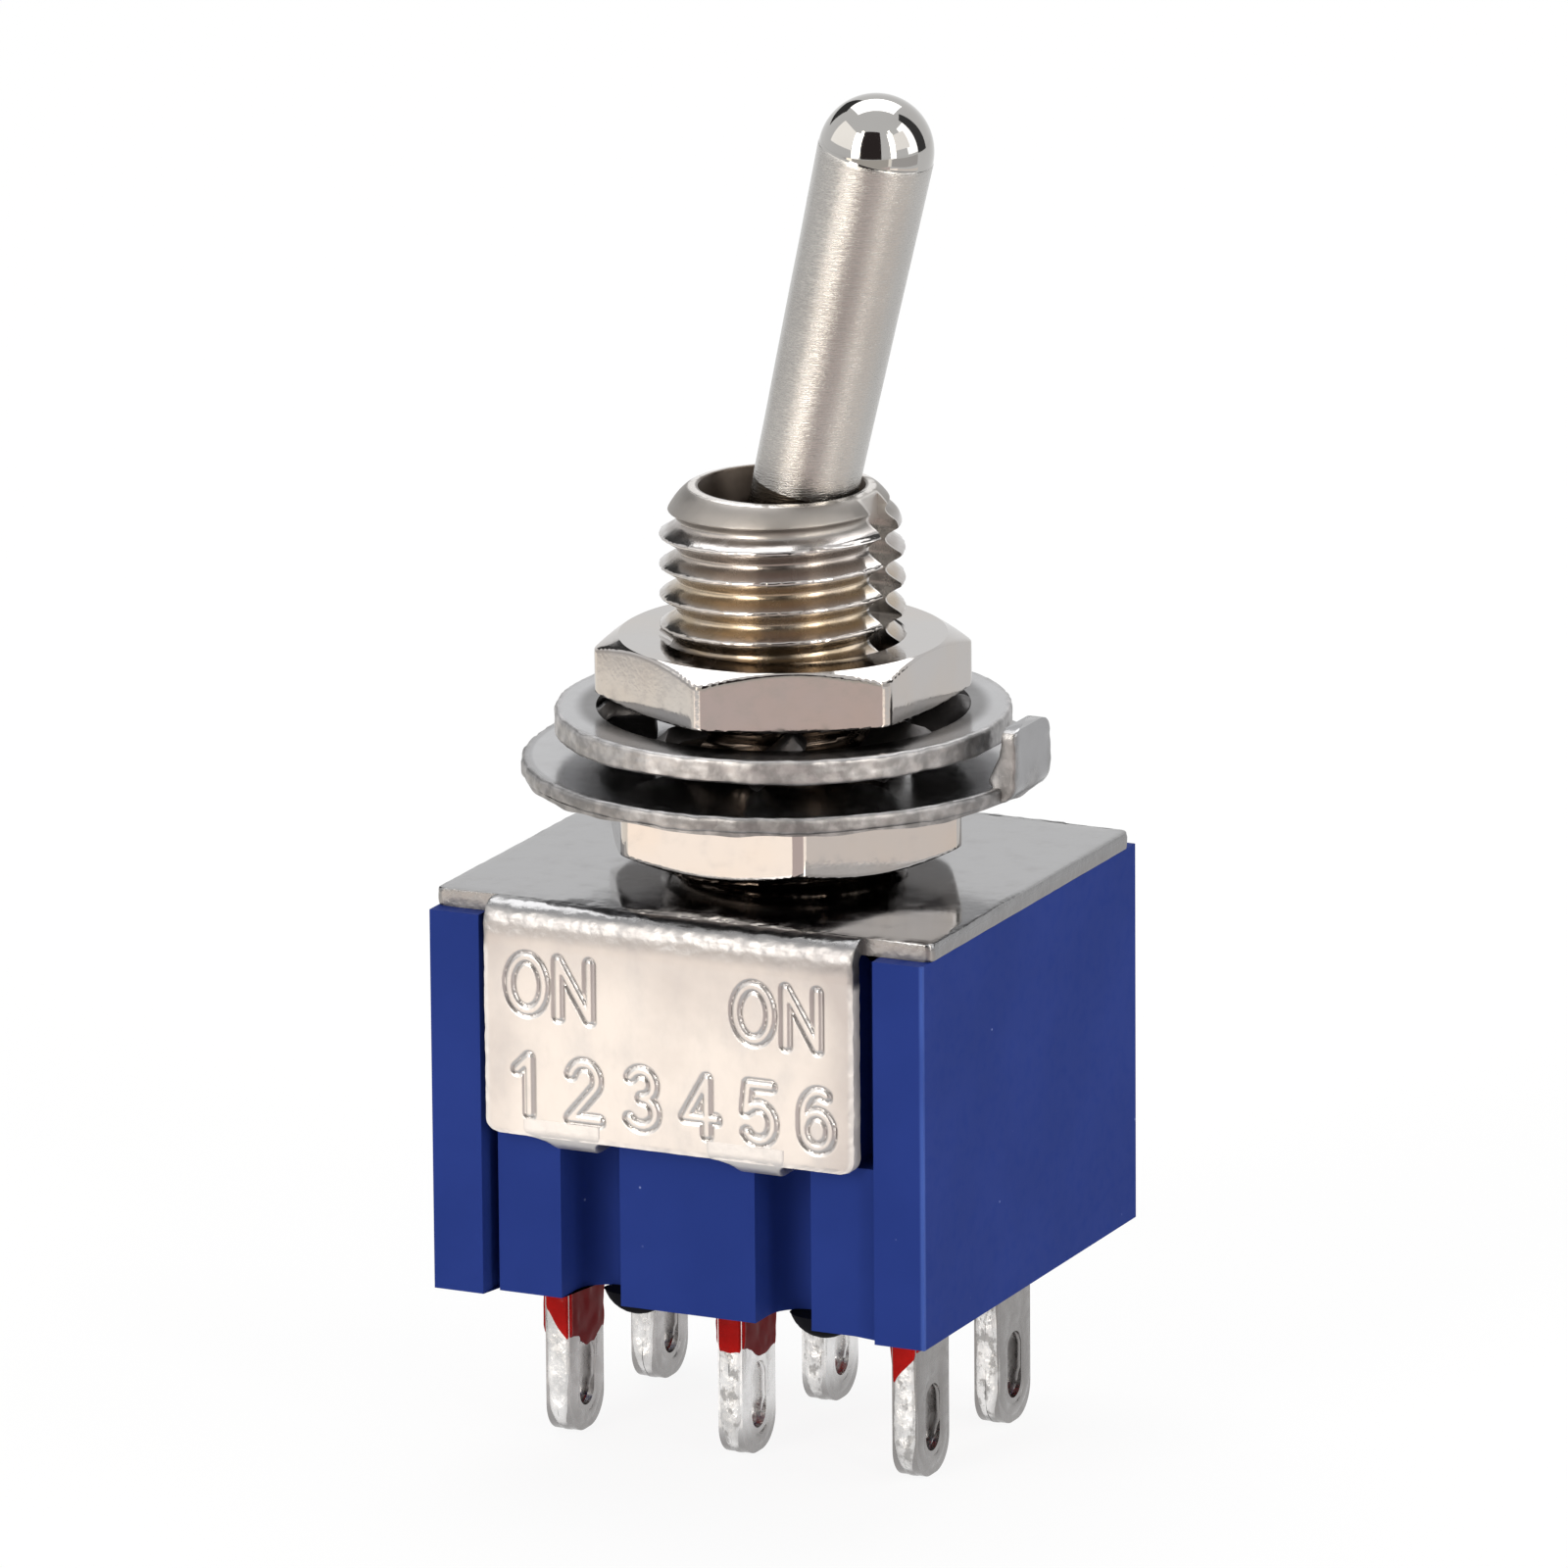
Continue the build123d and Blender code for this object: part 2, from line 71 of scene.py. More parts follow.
def rough(points, size, seed=0):
    """Two octaves of noise, the second half as large and half as strong."""
    return noise(points, size, seed) + 0.5 * noise(points, size / 2, seed + 7)


def soft_min(a, b, blend):
    """The lesser of two lengths, with the crease between them rounded over about blend."""
    return -blend * np.logaddexp(-a / blend, -b / blend)


def step_up(x, low, high):
    """0 below low, 1 above high and a cubic between."""
    t = np.clip((x - low) / (high - low), 0, 1)
    return t * t * (3 - 2 * t)


def unit(ways):
    """The same directions with length 1."""
    return ways / np.linalg.norm(ways, axis=-1, keepdims=True)


def filleted(corners, radii, arc=5, closed=False):
    """A path through corners, where each turn is an arc of its own radius with arc + 1 points."""
    corners = np.array(corners, float)
    count = len(corners)
    path = []
    for i in range(count):
        here = corners[i]
        if not closed and i in (0, count - 1) or radii[i] == 0:
            path.append(here[None])
            continue
        to_last, to_next = unit(corners[i - 1] - here), unit(corners[(i + 1) % count] - here)
        half = np.arccos(np.clip(to_last @ to_next, -1, 1)) / 2
        centre = here + unit(to_last + to_next) * radii[i] / np.sin(half)
        first = here + to_last * radii[i] / np.tan(half) - centre
        last = here + to_next * radii[i] / np.tan(half) - centre
        t = np.linspace(0, 1, arc + 1)[:, None]
        turn = np.pi - 2 * half
        bent = (np.sin((1 - t) * turn) * first + np.sin(t * turn) * last) / np.sin(turn)
        path.append(centre + bent)
    path = np.concatenate(path)
    return np.concatenate([path, path[:1]]) if closed else path


def divided(path, step):
    """The same path with every piece longer than step cut into equal parts."""
    spans = np.diff(path, axis=0)
    parts = np.maximum(1, np.ceil(np.linalg.norm(spans, axis=1) / step - 1e-6)).astype(int)
    start = np.repeat(path[:-1], parts, axis=0)
    span = np.repeat(spans, parts, axis=0)
    first = np.repeat(np.cumsum(parts) - parts, parts)
    share = ((np.arange(parts.sum()) - first) / np.repeat(parts, parts))[:, None]
    return np.concatenate([start + span * share, path[-1:]])


def polar(r, angle, z):
    """Points (r cos a, r sin a, z)."""
    return np.stack(np.broadcast_arrays(r * np.cos(angle), r * np.sin(angle), z + 0 * angle), -1)


def turned(path, angle):
    """A profile of (r, z) turned about Z, with a column at each angle."""
    return polar(path[:, :1], angle, path[:, 1:])


def full_circle(columns):
    """Angles once round, with the first again at the end."""
    return np.linspace(0, TAU, columns + 1)


def corner_inset(radius, left):
    """How far a round corner draws an edge in, at a distance left from the edge's end."""
    return radius - np.sqrt(np.maximum(radius**2 - np.maximum(radius - left, 0) ** 2, 0))


def rounded_box(width, height, radius, arc=3):
    """A closed loop of (across, up) round a rectangle about 0 with rounded corners."""
    w, h = width / 2, height / 2
    return filleted([(-w, -h), (w, -h), (w, h), (-w, h)], [radius] * 4, arc, closed=True)


def capped(grid):
    """The grid with a point at each end, in the middle of its first and of its last row."""
    first, last = (np.broadcast_to(row.mean(0), row[None].shape) for row in (grid[0], grid[-1]))
    return np.concatenate([first, grid, last])


# From arrays to pieces


def in_scene(name, data):
    """A new object with the given mesh, lamp or camera."""
    made = bpy.data.objects.new(name, data)
    bpy.context.scene.collection.objects.link(made)
    return made


def surface(name, grids, finish, nodes=(), sharp=32, marks=None, body="switch_body"):
    """One mesh from grids of points, each a function of its row and its column.

    Rows and columns that meet are welded, a row that is one point closes as a pole, and faces
    are turned outwards. marks is the name of a number carried on the mesh and its values by grid.
    """
    quads, first = [], 0
    for grid in grids:
        rows, columns = grid.shape[:2]
        index = np.arange(rows * columns).reshape(rows, columns) + first
        around = [index[:-1, :-1], index[1:, :-1], index[1:, 1:], index[:-1, 1:]]
        quads.append(np.stack(around, -1).reshape(-1, 4))
        first += rows * columns
    mesh = bpy.data.meshes.new(name)
    points = np.concatenate([grid.reshape(-1, 3) for grid in grids]) * 0.001
    mesh.from_pydata(points, [], np.concatenate(quads))
    if marks:
        mark = mesh.attributes.new(marks[0], "FLOAT", "POINT")
        values = np.concatenate([np.ravel(part) for part in marks[1]])
        mark.data.foreach_set("value", values.astype(np.float32))
    shape = bmesh.new()
    shape.from_mesh(mesh)
    bmesh.ops.remove_doubles(shape, verts=shape.verts, dist=2e-7)
    bmesh.ops.recalc_face_normals(shape, faces=shape.faces)
    shape.to_mesh(mesh)
    shape.free()
    mesh.shade_smooth()
    mesh.set_sharp_from_angle(angle=np.radians(sharp))
    mesh.materials.append(finish)
    piece = in_scene(name, mesh)
    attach(piece, body)
    if nodes:
        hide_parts(*nodes)
    return piece


# Finishes


class Number:
    """A number in a shader. Arithmetic on it adds Math nodes."""

    def __init__(self, shade, socket):
        self.shade, self.socket = shade, socket

    def math(self, operation, *others):
        sockets = {f"_{i}": value for i, value in enumerate((self, *others))}
        return self.shade.number("ShaderNodeMath", {"operation": operation}, **sockets)

    def __add__(self, other):
        return self.math("ADD", other)

    def __sub__(self, other):
        return self.math("SUBTRACT", other)

    def __rsub__(self, other):
        return self * -1 + other

    def __mul__(self, other):
        return self.math("MULTIPLY", other)

    def __pow__(self, other):
        return self.math("POWER", other)

    __radd__, __rmul__ = __add__, __mul__

    def above(self, low, high):
        """0 below low, 1 above high and smooth between."""
        settings = {"interpolation_type": "SMOOTHSTEP"}
        return self.shade.number("ShaderNodeMapRange", settings, Value=self, From_Min=low,
                                 From_Max=high)


class Nodes:
    """The nodes of one material or world."""

    def __init__(self, owner):
        owner.use_nodes = True
        self.tree = owner.node_tree

    def node(self, kind, settings=None, **sockets):
        """A node of a kind: its settings, then the value or link of each socket.

        A socket goes by its name with _ for a space, or by _ and its number.
        """
        made = self.tree.nodes.new(kind)
        for key, value in (settings or {}).items():
            setattr(made, key, value)
        for key, value in sockets.items():
            slot = made.inputs[int(key[1:]) if key[1:].isdigit() else key.replace("_", " ")]
            value = value.socket if isinstance(value, Number) else value
            if isinstance(value, bpy.types.NodeSocket):
                self.tree.links.new(value, slot)
            else:
                slot.default_value = value
        return made

    def number(self, kind, settings=None, **sockets):
        """The number that a node gives."""
        return Number(self, self.node(kind, settings, **sockets).outputs[0])

    def show(self, shader):
        """The shader as the material's surface."""
        self.tree.links.new(shader.outputs[0], self.tree.nodes["Material Output"].inputs["Surface"])

    def seen(self):
        """1 for what is seen by the camera, in gloss or through glass, 0 for light on a surface."""
        path = self.node("ShaderNodeLightPath").outputs
        kinds = ("Camera", "Glossy", "Transmission")
        camera, gloss, glass = (Number(self, path[f"Is {kind} Ray"]) for kind in kinds)
        return camera.math("MAXIMUM", gloss).math("MAXIMUM", glass)


class Shade(Nodes):
    """The nodes of one material, round a Principled shader."""

    def __init__(self, name, **constants):
        self.material = bpy.data.materials.new(name)
        super().__init__(self.material)
        self.shader = self.tree.nodes["Principled BSDF"]
        for socket, value in constants.items():
            self.shader.inputs[socket.replace("_", " ")].default_value = value
        self.place = self.node("ShaderNodeTexCoord").outputs["Object"]

    def grain(self, scale, detail=2, rough=0.5, stretch=(1, 1, 1), turn=(0, 0, 0)):
        """Noise from 0 to 1 with scale cells a metre, stretched and turned on the object."""
        mapped = self.node("ShaderNodeMapping", Vector=self.place, Scale=stretch, Rotation=turn)
        return self.number("ShaderNodeTexNoise", Vector=mapped.outputs[0], Scale=scale,
                           Detail=detail, Roughness=rough)

    def pits(self, scale):
        """Distance from 0 up to the nearest of scattered points, scale of them a metre."""
        return self.number("ShaderNodeTexVoronoi", Vector=self.place, Scale=scale)

    def along(self):
        """The three coordinates on the object, in metres."""
        parts = self.node("ShaderNodeSeparateXYZ", Vector=self.place)
        return [Number(self, socket) for socket in parts.outputs]

    def mark(self, name):
        """A number carried on the mesh."""
        made = self.node("ShaderNodeAttribute", {"attribute_name": name})
        return Number(self, made.outputs["Fac"])

    def mix(self, factor, first, second):
        """A colour between two."""
        first, second = ((*c, 1) if isinstance(c, tuple) else c for c in (first, second))
        made = self.node("ShaderNodeMix", {"data_type": "RGBA"}, _0=factor, _6=first, _7=second)
        return made.outputs[2]

    def finished(self, colour, dull, height, depth):
        """The material, with relief of a height from 0 to 1 that stands for depth metres."""
        relief = self.node("ShaderNodeBump", Height=height, Distance=depth, Strength=1.0)
        for socket, value in (("Base Color", colour), ("Roughness", dull.socket),
                              ("Normal", relief.outputs[0])):
            self.tree.links.new(value, self.shader.inputs[socket])
        return self.material


def nut_nickel():
    """Plated machined metal: cloudy tint and fine grain."""
    shade = Shade("nut_nickel", Metallic=1.0)
    cloud = shade.grain(420, 3)
    tint = shade.mix(cloud.above(0.35, 0.75) * 0.5, (0.445, 0.428, 0.418), (0.4725, 0.414, 0.359))
    dull = 0.06 + 0.12 * shade.grain(2600, 3).above(0.4, 0.8)
    return shade.finished(tint, dull, shade.grain(9000, 3), 1.2e-6)


def threaded_nickel():
    """Nickel over brass, which shows in the lower valleys of the thread."""
    shade = Shade("thread_nickel", Metallic=1.0)
    x, y, z = shade.along()
    radius = (x * x + y * y) ** 0.5
    valley = 1 - radius.above(0.00272, 0.00292)
    keyway = x.above(0.00225, 0.00232) * (1 - (y * y).above(3.0e-7, 3.4e-7))
    mouth = z.above(0.0059, 0.0061)
    low = 1 - z.above(0.0043, 0.0055)
    patch = shade.grain(900, 3).above(0.3, 0.6)
    plated = shade.mix(valley * (1 - mouth) * 0.8, (0.44, 0.42, 0.41), (0.27, 0.24, 0.22))
    grey = shade.mix(mouth, plated, (0.25, 0.235, 0.22))
    thin = low * (0.25 + 0.75 * valley) * (0.55 + 0.45 * patch)
    brassy = shade.mix(thin, grey, (0.37, 0.30, 0.215))
    # Painted highlight: a pale, broken line on the rim of the bushing's mouth.
    rim = z.above(0.00668, 0.00671) * shade.grain(2500, 2).above(0.35, 0.5)
    with_painted_rim_highlight = shade.mix(rim, brassy, (0.68, 0.65, 0.62))
    # Painted reflection: the keyway is a lighter grey, for the bright things seen in its floor and
    # walls.
    outside = shade.mix(keyway, with_painted_rim_highlight, (0.50, 0.48, 0.46))
    # Painted shade: the bushing below the upper nut's top and inside its mouth turns dark brown.
    painted_shade_low_and_inside = (1 - z.above(0.0028, 0.0031)).math("MAXIMUM", 1 - radius.above(0.00208, 0.00214))
    tint = shade.mix(painted_shade_low_and_inside, outside, (0.10, 0.08, 0.065))
    fine = shade.grain(3000, 3).above(0.4, 0.8)
    dull = 0.13 + 0.09 * valley + 0.2 * mouth * (1 - rim) + 0.1 * fine
    return shade.finished(tint, dull, shade.grain(7000, 3), 3e-6)


def lever_nickel():
    """Satin shaft with fine turning rings, a polished tip, and painted shade on its foot below the
    bushing's mouth.
    """
    shade = Shade("lever_nickel", Metallic=1.0)
    rings = shade.grain(1, 3, 0.6, (2500, 2500, 42000), (0, -lean, 0))
    cloud = shade.grain(500, 3).above(0.3, 0.8)
    satin = shade.mix(cloud * 0.5, (0.43, 0.42, 0.405), (0.36, 0.345, 0.33))
    mark = shade.mark("tip_polish_and_mouth_shade")
    tip = mark.above(0.2, 0.8)
    # Painted shade: the lever's foot, marked -1, turns near black where it goes into the bushing's
    # mouth.
    painted_mouth_shade = (shade.grain(2600, 2) * 0.5 - mark).above(0.45, 0.6)
    dull = 0.22 - 0.17 * tip + 0.08 * rings.above(0.4, 0.7) * (1 - tip)
    return shade.finished(shade.mix(painted_mouth_shade, satin, (0.05, 0.04, 0.03)), dull, rings * (1 - tip),
                          1.1e-5)


def tinned_sheet():
    """Tin-plated sheet: mirror-like on top, clouded and scuffed on the flaps, torn at its edges."""
    shade = Shade("bracket_tin", Metallic=1.0)
    x, _, z = shade.along()
    upright = 1 - z.above(-0.0031, -0.00272)
    torn = shade.mark("torn")
    scuff = shade.grain(1400, 4, 0.6, (1, 1, 0.5))
    cloud = shade.grain(330, 4, 0.6)
    # Painted shade: the flaps darken at their sides, on the right and towards the top; the cloud
    # adds real uneven tone.
    rim = (x * x).above(1.5e-5, 2.5e-5)
    right, upper = x.above(0.0033, 0.0046), z.above(-0.0052, -0.0034)
    painted_shade_and_cloud = rim * 0.35 + right * 0.4 + upper * 0.5 + cloud.above(0.4, 0.8) * 0.5
    flat = shade.mix(scuff.above(0.4, 0.8) * 0.4, (0.31, 0.31, 0.315), (0.26, 0.255, 0.255))
    clear = shade.mix(scuff.above(0.4, 0.75) * 0.6, (0.50, 0.485, 0.475), (0.42, 0.405, 0.40))
    side = shade.mix(painted_shade_and_cloud, clear, (0.34, 0.325, 0.325))
    # Painted highlight: torn places on the flaps below the bend are pale; higher up they are dark
    # grey.
    edge = 1 - z.above(-0.0040, -0.0037)
    cut = shade.mix(edge, (0.20, 0.198, 0.20), (0.66, 0.645, 0.64))
    dull = 0.10 + 0.20 * upright + (0.1 + 0.35 * edge) * torn + 0.14 * scuff.above(0.45, 0.8)
    relief = shade.grain(5200, 3) * (0.15 + 0.5 * upright + 2.2 * torn)
    return shade.finished(shade.mix(torn * 0.7, shade.mix(upright, flat, side), cut), dull, relief,
                          6e-6)


def washer_steel():
    """Stamped and plated steel: bright smooth faces, a rough cut edge, painted shade between the
    teeth.
    """
    shade = Shade("washer_steel", Metallic=1.0)
    torn = shade.mark("torn")
    x, y, z = shade.along()
    radius = (x * x + y * y) ** 0.5
    cloud = shade.grain(700, 3)
    face = shade.mix(cloud.above(0.35, 0.75) * 0.5, (0.40, 0.40, 0.41), (0.34, 0.335, 0.34))
    cut = shade.mix(shade.grain(2600, 3).above(0.35, 0.7), (0.24, 0.235, 0.235), (0.40, 0.39, 0.39))
    clean = shade.mix(torn, face, cut)
    # Painted shade: the locating washer's outer rim, burr and tab are darkened by 28 percent.
    clean = shade.mix(radius.above(0.0061, 0.0062) * 0.28, clean, (0, 0, 0))
    # Painted shade: the lock washer's inner part and its teeth turn near black.
    painted_crevice_shade = z.above(0.0001, 0.0003) * (1 - radius.above(0.0048, 0.0052))
    tint = shade.mix(painted_crevice_shade * (0.75 + 0.25 * cloud), clean, (0.045, 0.042, 0.042))
    dull = 0.17 + 0.25 * torn + 0.08 * shade.grain(2400, 3).above(0.4, 0.8)
    return shade.finished(tint, dull, shade.grain(6000, 3) * (0.02 + 1.4 * torn), 7e-6)


def case_plastic():
    """Moulded thermoset: satin, with a faint mould grain and small pale specks."""
    shade = Shade("case_blue", IOR=1.5, Specular_IOR_Level=0.015)
    cloud = shade.grain(260, 3)
    speck = 1 - shade.pits(1500).above(0.03, 0.06)
    blue = shade.mix(cloud.above(0.3, 0.75), (0.0155, 0.033, 0.172), (0.0185, 0.038, 0.195))
    x, y, _ = shade.along()
    # Painted highlight: a broken pale blue line down the corner of the front right pillar.
    corner = x.above(0.00647, 0.00655) * (0 - y).above(0.00612, 0.00620)
    corner = corner * shade.grain(300, 3, 0.6, (1, 1, 0.3)).above(0.3, 0.6)
    blue = shade.mix(corner * 0.7, blue, (0.065, 0.12, 0.40))
    tint = shade.mix(speck * shade.grain(400).above(0.55, 0.65), blue, (0.2, 0.25, 0.45))
    dull = 0.42 + 0.12 * shade.grain(3000, 3).above(0.4, 0.8)
    return shade.finished(tint, dull, shade.grain(11000, 2), 2e-6)


def cast_resin():
    """Glossy red resin, dark where its film over the metal is thin."""
    shade = Shade("resin_red", IOR=1.52, Specular_IOR_Level=0.04)
    film = shade.mark("film")
    cloud = shade.grain(1100, 3)
    red = shade.mix(cloud.above(0.35, 0.7), (0.44, 0.010, 0.008), (0.32, 0.007, 0.006))
    coloured = shade.mix(film, red, (0.15, 0.011, 0.013))
    # Film values above 1.2 turn near black: painted shade on the beads.
    tint = shade.mix(film.above(1.2, 1.8), coloured, (0.004, 0.004, 0.006))
    dull = 0.16 + 0.15 * shade.grain(2500, 2).above(0.4, 0.8) + 0.25 * film
    return shade.finished(tint, dull, shade.grain(2400, 3) * (1 - 0.8 * film.above(0, 1)), 4e-5)


def solder_tin():
    """Hot-dipped tin: pale runs and pits on the narrow faces, greyer and smoother on the flats."""
    shade = Shade("terminal_tin", Metallic=1.0)
    narrow = shade.mark("narrow")
    x, _, z = shade.along()
    runs = shade.grain(1900, 4, 0.6, (1, 1, 0.6))
    # Painted reflection: the flats of the middle lugs are light, the left ones mid grey and the
    # right ones darker.
    middle = 1 - (x * x).above(1.0e-6, 4.0e-6)
    outer = shade.mix(x.above(-0.0025, 0.0025), (0.40, 0.385, 0.38), (0.25, 0.24, 0.235))
    flat = shade.mix(middle, outer, (0.74, 0.735, 0.73))
    # Painted shade: the flats turn darker towards the lower ends of the tips.
    flat = shade.mix(1 - z.above(-0.0169, -0.0158), flat, (0.30, 0.29, 0.285))
    flecks = shade.grain(4200, 3, 0.6, (1, 1, 0.7)).above(0.50, 0.62) * x.above(-0.0036, -0.0028)
    bright = shade.mix(narrow, flat, (0.82, 0.81, 0.80))
    dim = shade.mix(narrow, flat, (0.52, 0.51, 0.50))
    pale = shade.mix(runs.above(0.35, 0.75), bright, dim)
    tint = shade.mix(flecks * narrow * 0.8, pale, (0.30, 0.29, 0.28))
    dull = 0.22 + 0.2 * shade.grain(3800, 3).above(0.35, 0.75)
    return shade.finished(tint, dull, runs * (0.35 + 1.3 * narrow), 5e-5)


def plain(name, tint, dull, metallic=0.0):
    """Finish of an inner piece: cloudy tint and fine grain."""
    shade = Shade(name, Metallic=metallic)
    cloudy = shade.mix(shade.grain(700, 3).above(0.3, 0.8), tint, tuple(0.85 * c for c in tint))
    return shade.finished(cloudy, dull + 0.1 * shade.grain(3000, 2), shade.grain(6000, 2), 2e-6)


nut_finish = nut_nickel()
sheet_finish = tinned_sheet()
washer_finish = washer_steel()
tin_finish = solder_tin()


# Sizes shared by the surfaces, in millimetres

thread_r = 3.0
pitch = 0.75
crest_z = 0.27
bushing_top = 6.73
plate_foot = -3.15
case_foot = -12.7
shoulder = -8.45
flap_foot = -8.53
case_half, pocket_half_x, pocket_half_y = 6.6, 5.75, 3.75
pivot = 4.0


# Lever


def leaned(points):
    """From the upright lever's frame, with its pivot at the origin, to rest."""
    x, y, z = np.moveaxis(points, -1, 0)
    c, s = np.cos(lean), np.sin(lean)
    return np.stack([x * c + z * s, y, pivot - x * s + z * c], -1)


def lever():
    """Profile turned about the lever's axis: arm, ball, neck, tapered shaft, edge, round tip."""
    ball, neck, base, tip, top = 1.95, 1.2, 1.29, 1.42, 12.94
    arm_r, arm_foot, mouth_shade_top = 0.65, -10.4, 2.82
    a = np.linspace(-np.arccos(arm_r / ball), np.arccos(neck / ball), 24)
    ball_arc = ball * np.stack([np.cos(a), np.sin(a)], 1)
    neck_z = ball * np.sin(a[-1])
    seam = top - tip - 0.03
    shaft = divided(np.array([(neck, neck_z), (base, neck_z + 0.9), (tip, seam)]), 0.12)
    a = np.linspace(0, np.pi / 2, 40)
    dome = np.stack([(tip - 0.012) * np.cos(a), top - tip + tip * np.sin(a)], 1)
    arm = np.array([(0, arm_foot), (arm_r, arm_foot)])
    path = np.concatenate([arm, ball_arc[1:], shaft[1:], dome])
    # The mark is -1 on the foot, for painted shade at the mouth, and 1 on the polished tip.
    tip_polish_and_mouth_shade = np.where(path[:, 1] < mouth_shade_top, -1.0, 0.0)
    tip_polish_and_mouth_shade[-len(dome):] = 1
    grid = turned(path, full_circle(128))
    wander = 1 + 0.004 * noise(grid, 1.5)[..., None] * (1, 1, 0)
    surface("lever_bat", [leaned(grid * wander)], lever_nickel(), ["lever"],
            marks=("tip_polish_and_mouth_shade", [np.repeat(tip_polish_and_mouth_shade, grid.shape[1])]), body="lever")


# Bushing


def thread_radius(angle, z):
    """Helical thread: the distance up to the nearest crest gives a 60 degree flank."""
    crest_half, deep = 0.035, 0.42
    turns = (z - crest_z) / pitch - (angle - np.radians(205.4)) / TAU
    off = np.abs(turns - np.round(turns)) * pitch
    ridge = soft_min(thread_r, thread_r - (off - crest_half) * np.sqrt(3), 0.012)
    return -soft_min(-ridge, deep - thread_r, 0.07)


def bushing():
    """Outside: thread, lead-in chamfer and keyway. Inside: mouth, ball seat and bore."""
    key_half, key_floor, seat_r, waist = 0.55, 2.35, 2.0, 1.62
    lead_r, lead_wide, lead_deep, lead_foot, far_out = 2.17, 0.78, 0.95, 5.78, 9.0
    edge = np.arcsin(key_half / thread_r)
    across = np.linspace(-key_half, key_half, 5)
    angle = np.hstack([np.linspace(edge, TAU - edge, 300), np.linspace(-edge, edge, 5), edge])
    heights = np.hstack([np.linspace(plate_foot, -2.0, 24), np.linspace(-1.9, 2.5, 40),
                         np.arange(2.55, 6.1, 0.028), np.linspace(6.12, bushing_top, 26)])
    a, z = np.meshgrid(angle, heights)
    down = np.clip((bushing_top - z) / lead_deep, 0, 1)
    lead = lead_r + lead_wide * (0.45 * down + 0.55 * np.sqrt(1 - (1 - down) ** 2))
    r = soft_min(thread_radius(a, z), np.where(z > lead_foot, lead, far_out), 0.02)
    spot = polar(r, a, z)
    crest = step_up(r, thread_r - 0.12, thread_r - 0.03)
    jagged = 0.014 * rough(spot * (1, 1, 2), 0.11, 3) + 0.007 * noise(spot, 0.3, 5)
    r = r + jagged * crest * (z < 6.0) + 0.003 * noise(spot, 0.2, 9)
    outside = polar(r, a, z)
    rim, key = r[:, :1], slice(300, 305)
    outside[:, key, 0] = np.minimum(key_floor, rim * np.cos(edge) - 0.001)
    outside[:, key, 1] = across * np.minimum(1, rim * np.sin(edge) / key_half)
    seat_top = pivot + np.sqrt(seat_r**2 - waist**2)
    b = np.linspace(np.arcsin((seat_top - pivot) / seat_r), 0, 12)
    seat = np.stack([seat_r * np.cos(b), pivot + seat_r * np.sin(b)], 1)
    mouth = filleted([(2.15, bushing_top), (2.05, bushing_top), (waist, seat_top)], [0, 0.045, 0])
    foot = np.array([(seat_r, -0.4), (2.56, -3.65), (3.6, -3.65), (3.6, plate_foot),
                     (thread_r, plate_foot)])
    path = divided(np.concatenate([mouth, seat[1:], foot]), 0.3)
    whole = np.concatenate([outside, turned(path, angle), outside[:1]])
    surface("bushing_thread", [whole], threaded_nickel(), ["bushing"], sharp=50)


# Nuts


def hexagon(angle, flat, corner):
    """Distance from the axis to a hexagon whose corners are arcs of the given radius."""
    phi = np.abs((angle + np.pi / 6) % (np.pi / 3) - np.pi / 6)
    tangent = (flat - corner) * np.tan(np.pi / 6)
    straight = flat / np.cos(phi)
    centre = (flat - corner) / np.cos(np.pi / 6)
    alpha = np.pi / 6 - phi
    arc = centre * np.cos(alpha)
    arc = arc + np.sqrt(np.maximum(corner**2 - (centre * np.sin(alpha)) ** 2, 0))
    return np.where(np.tan(phi) * flat > tangent, arc, straight)


def nut(name, low, high, chamfers, first_corner, node, flat, corner, seed):
    """Hexagon cut by a shallow cone at each end, around a countersunk threaded hole."""
    turn = first_corner - 30
    sector = np.hstack([np.linspace(-30, -22, 13), np.linspace(-21, 21, 22),
                        np.linspace(22, 29.4, 12)])
    angle = np.radians(np.hstack([sector + 60 * k for k in range(6)] + [330.0]) + turn)
    rise = 0.45 * np.linspace(0, 1, 15) ** 1.6
    heights = np.hstack([low + rise, (low + high) / 2, high - rise[::-1]])
    a, z = np.meshgrid(angle, heights)
    side = hexagon(a - np.radians(turn), flat, corner)
    wide = 0.62
    foot_cone = flat - 0.02 + (z - low) * wide / chamfers[0]
    top_cone = flat - 0.02 + (high - z) * wide / chamfers[1]
    outside = polar(soft_min(soft_min(side, top_cone, 0.03), foot_cone, 0.03), a, z)
    sink = [(3.7, 0), (3.2, 0), (3.03, 0), (2.72, 0.28)]
    hole = [(r, high - deep) for r, deep in sink] + [(r, low + deep) for r, deep in sink[::-1]]
    whole = np.concatenate([outside, turned(np.array(hole), angle), outside[:1]])
    whole += 0.0025 * noise(whole, 1.3, seed)[..., None]
    surface(name, [whole], nut_finish, [node], sharp=24)


# Washers


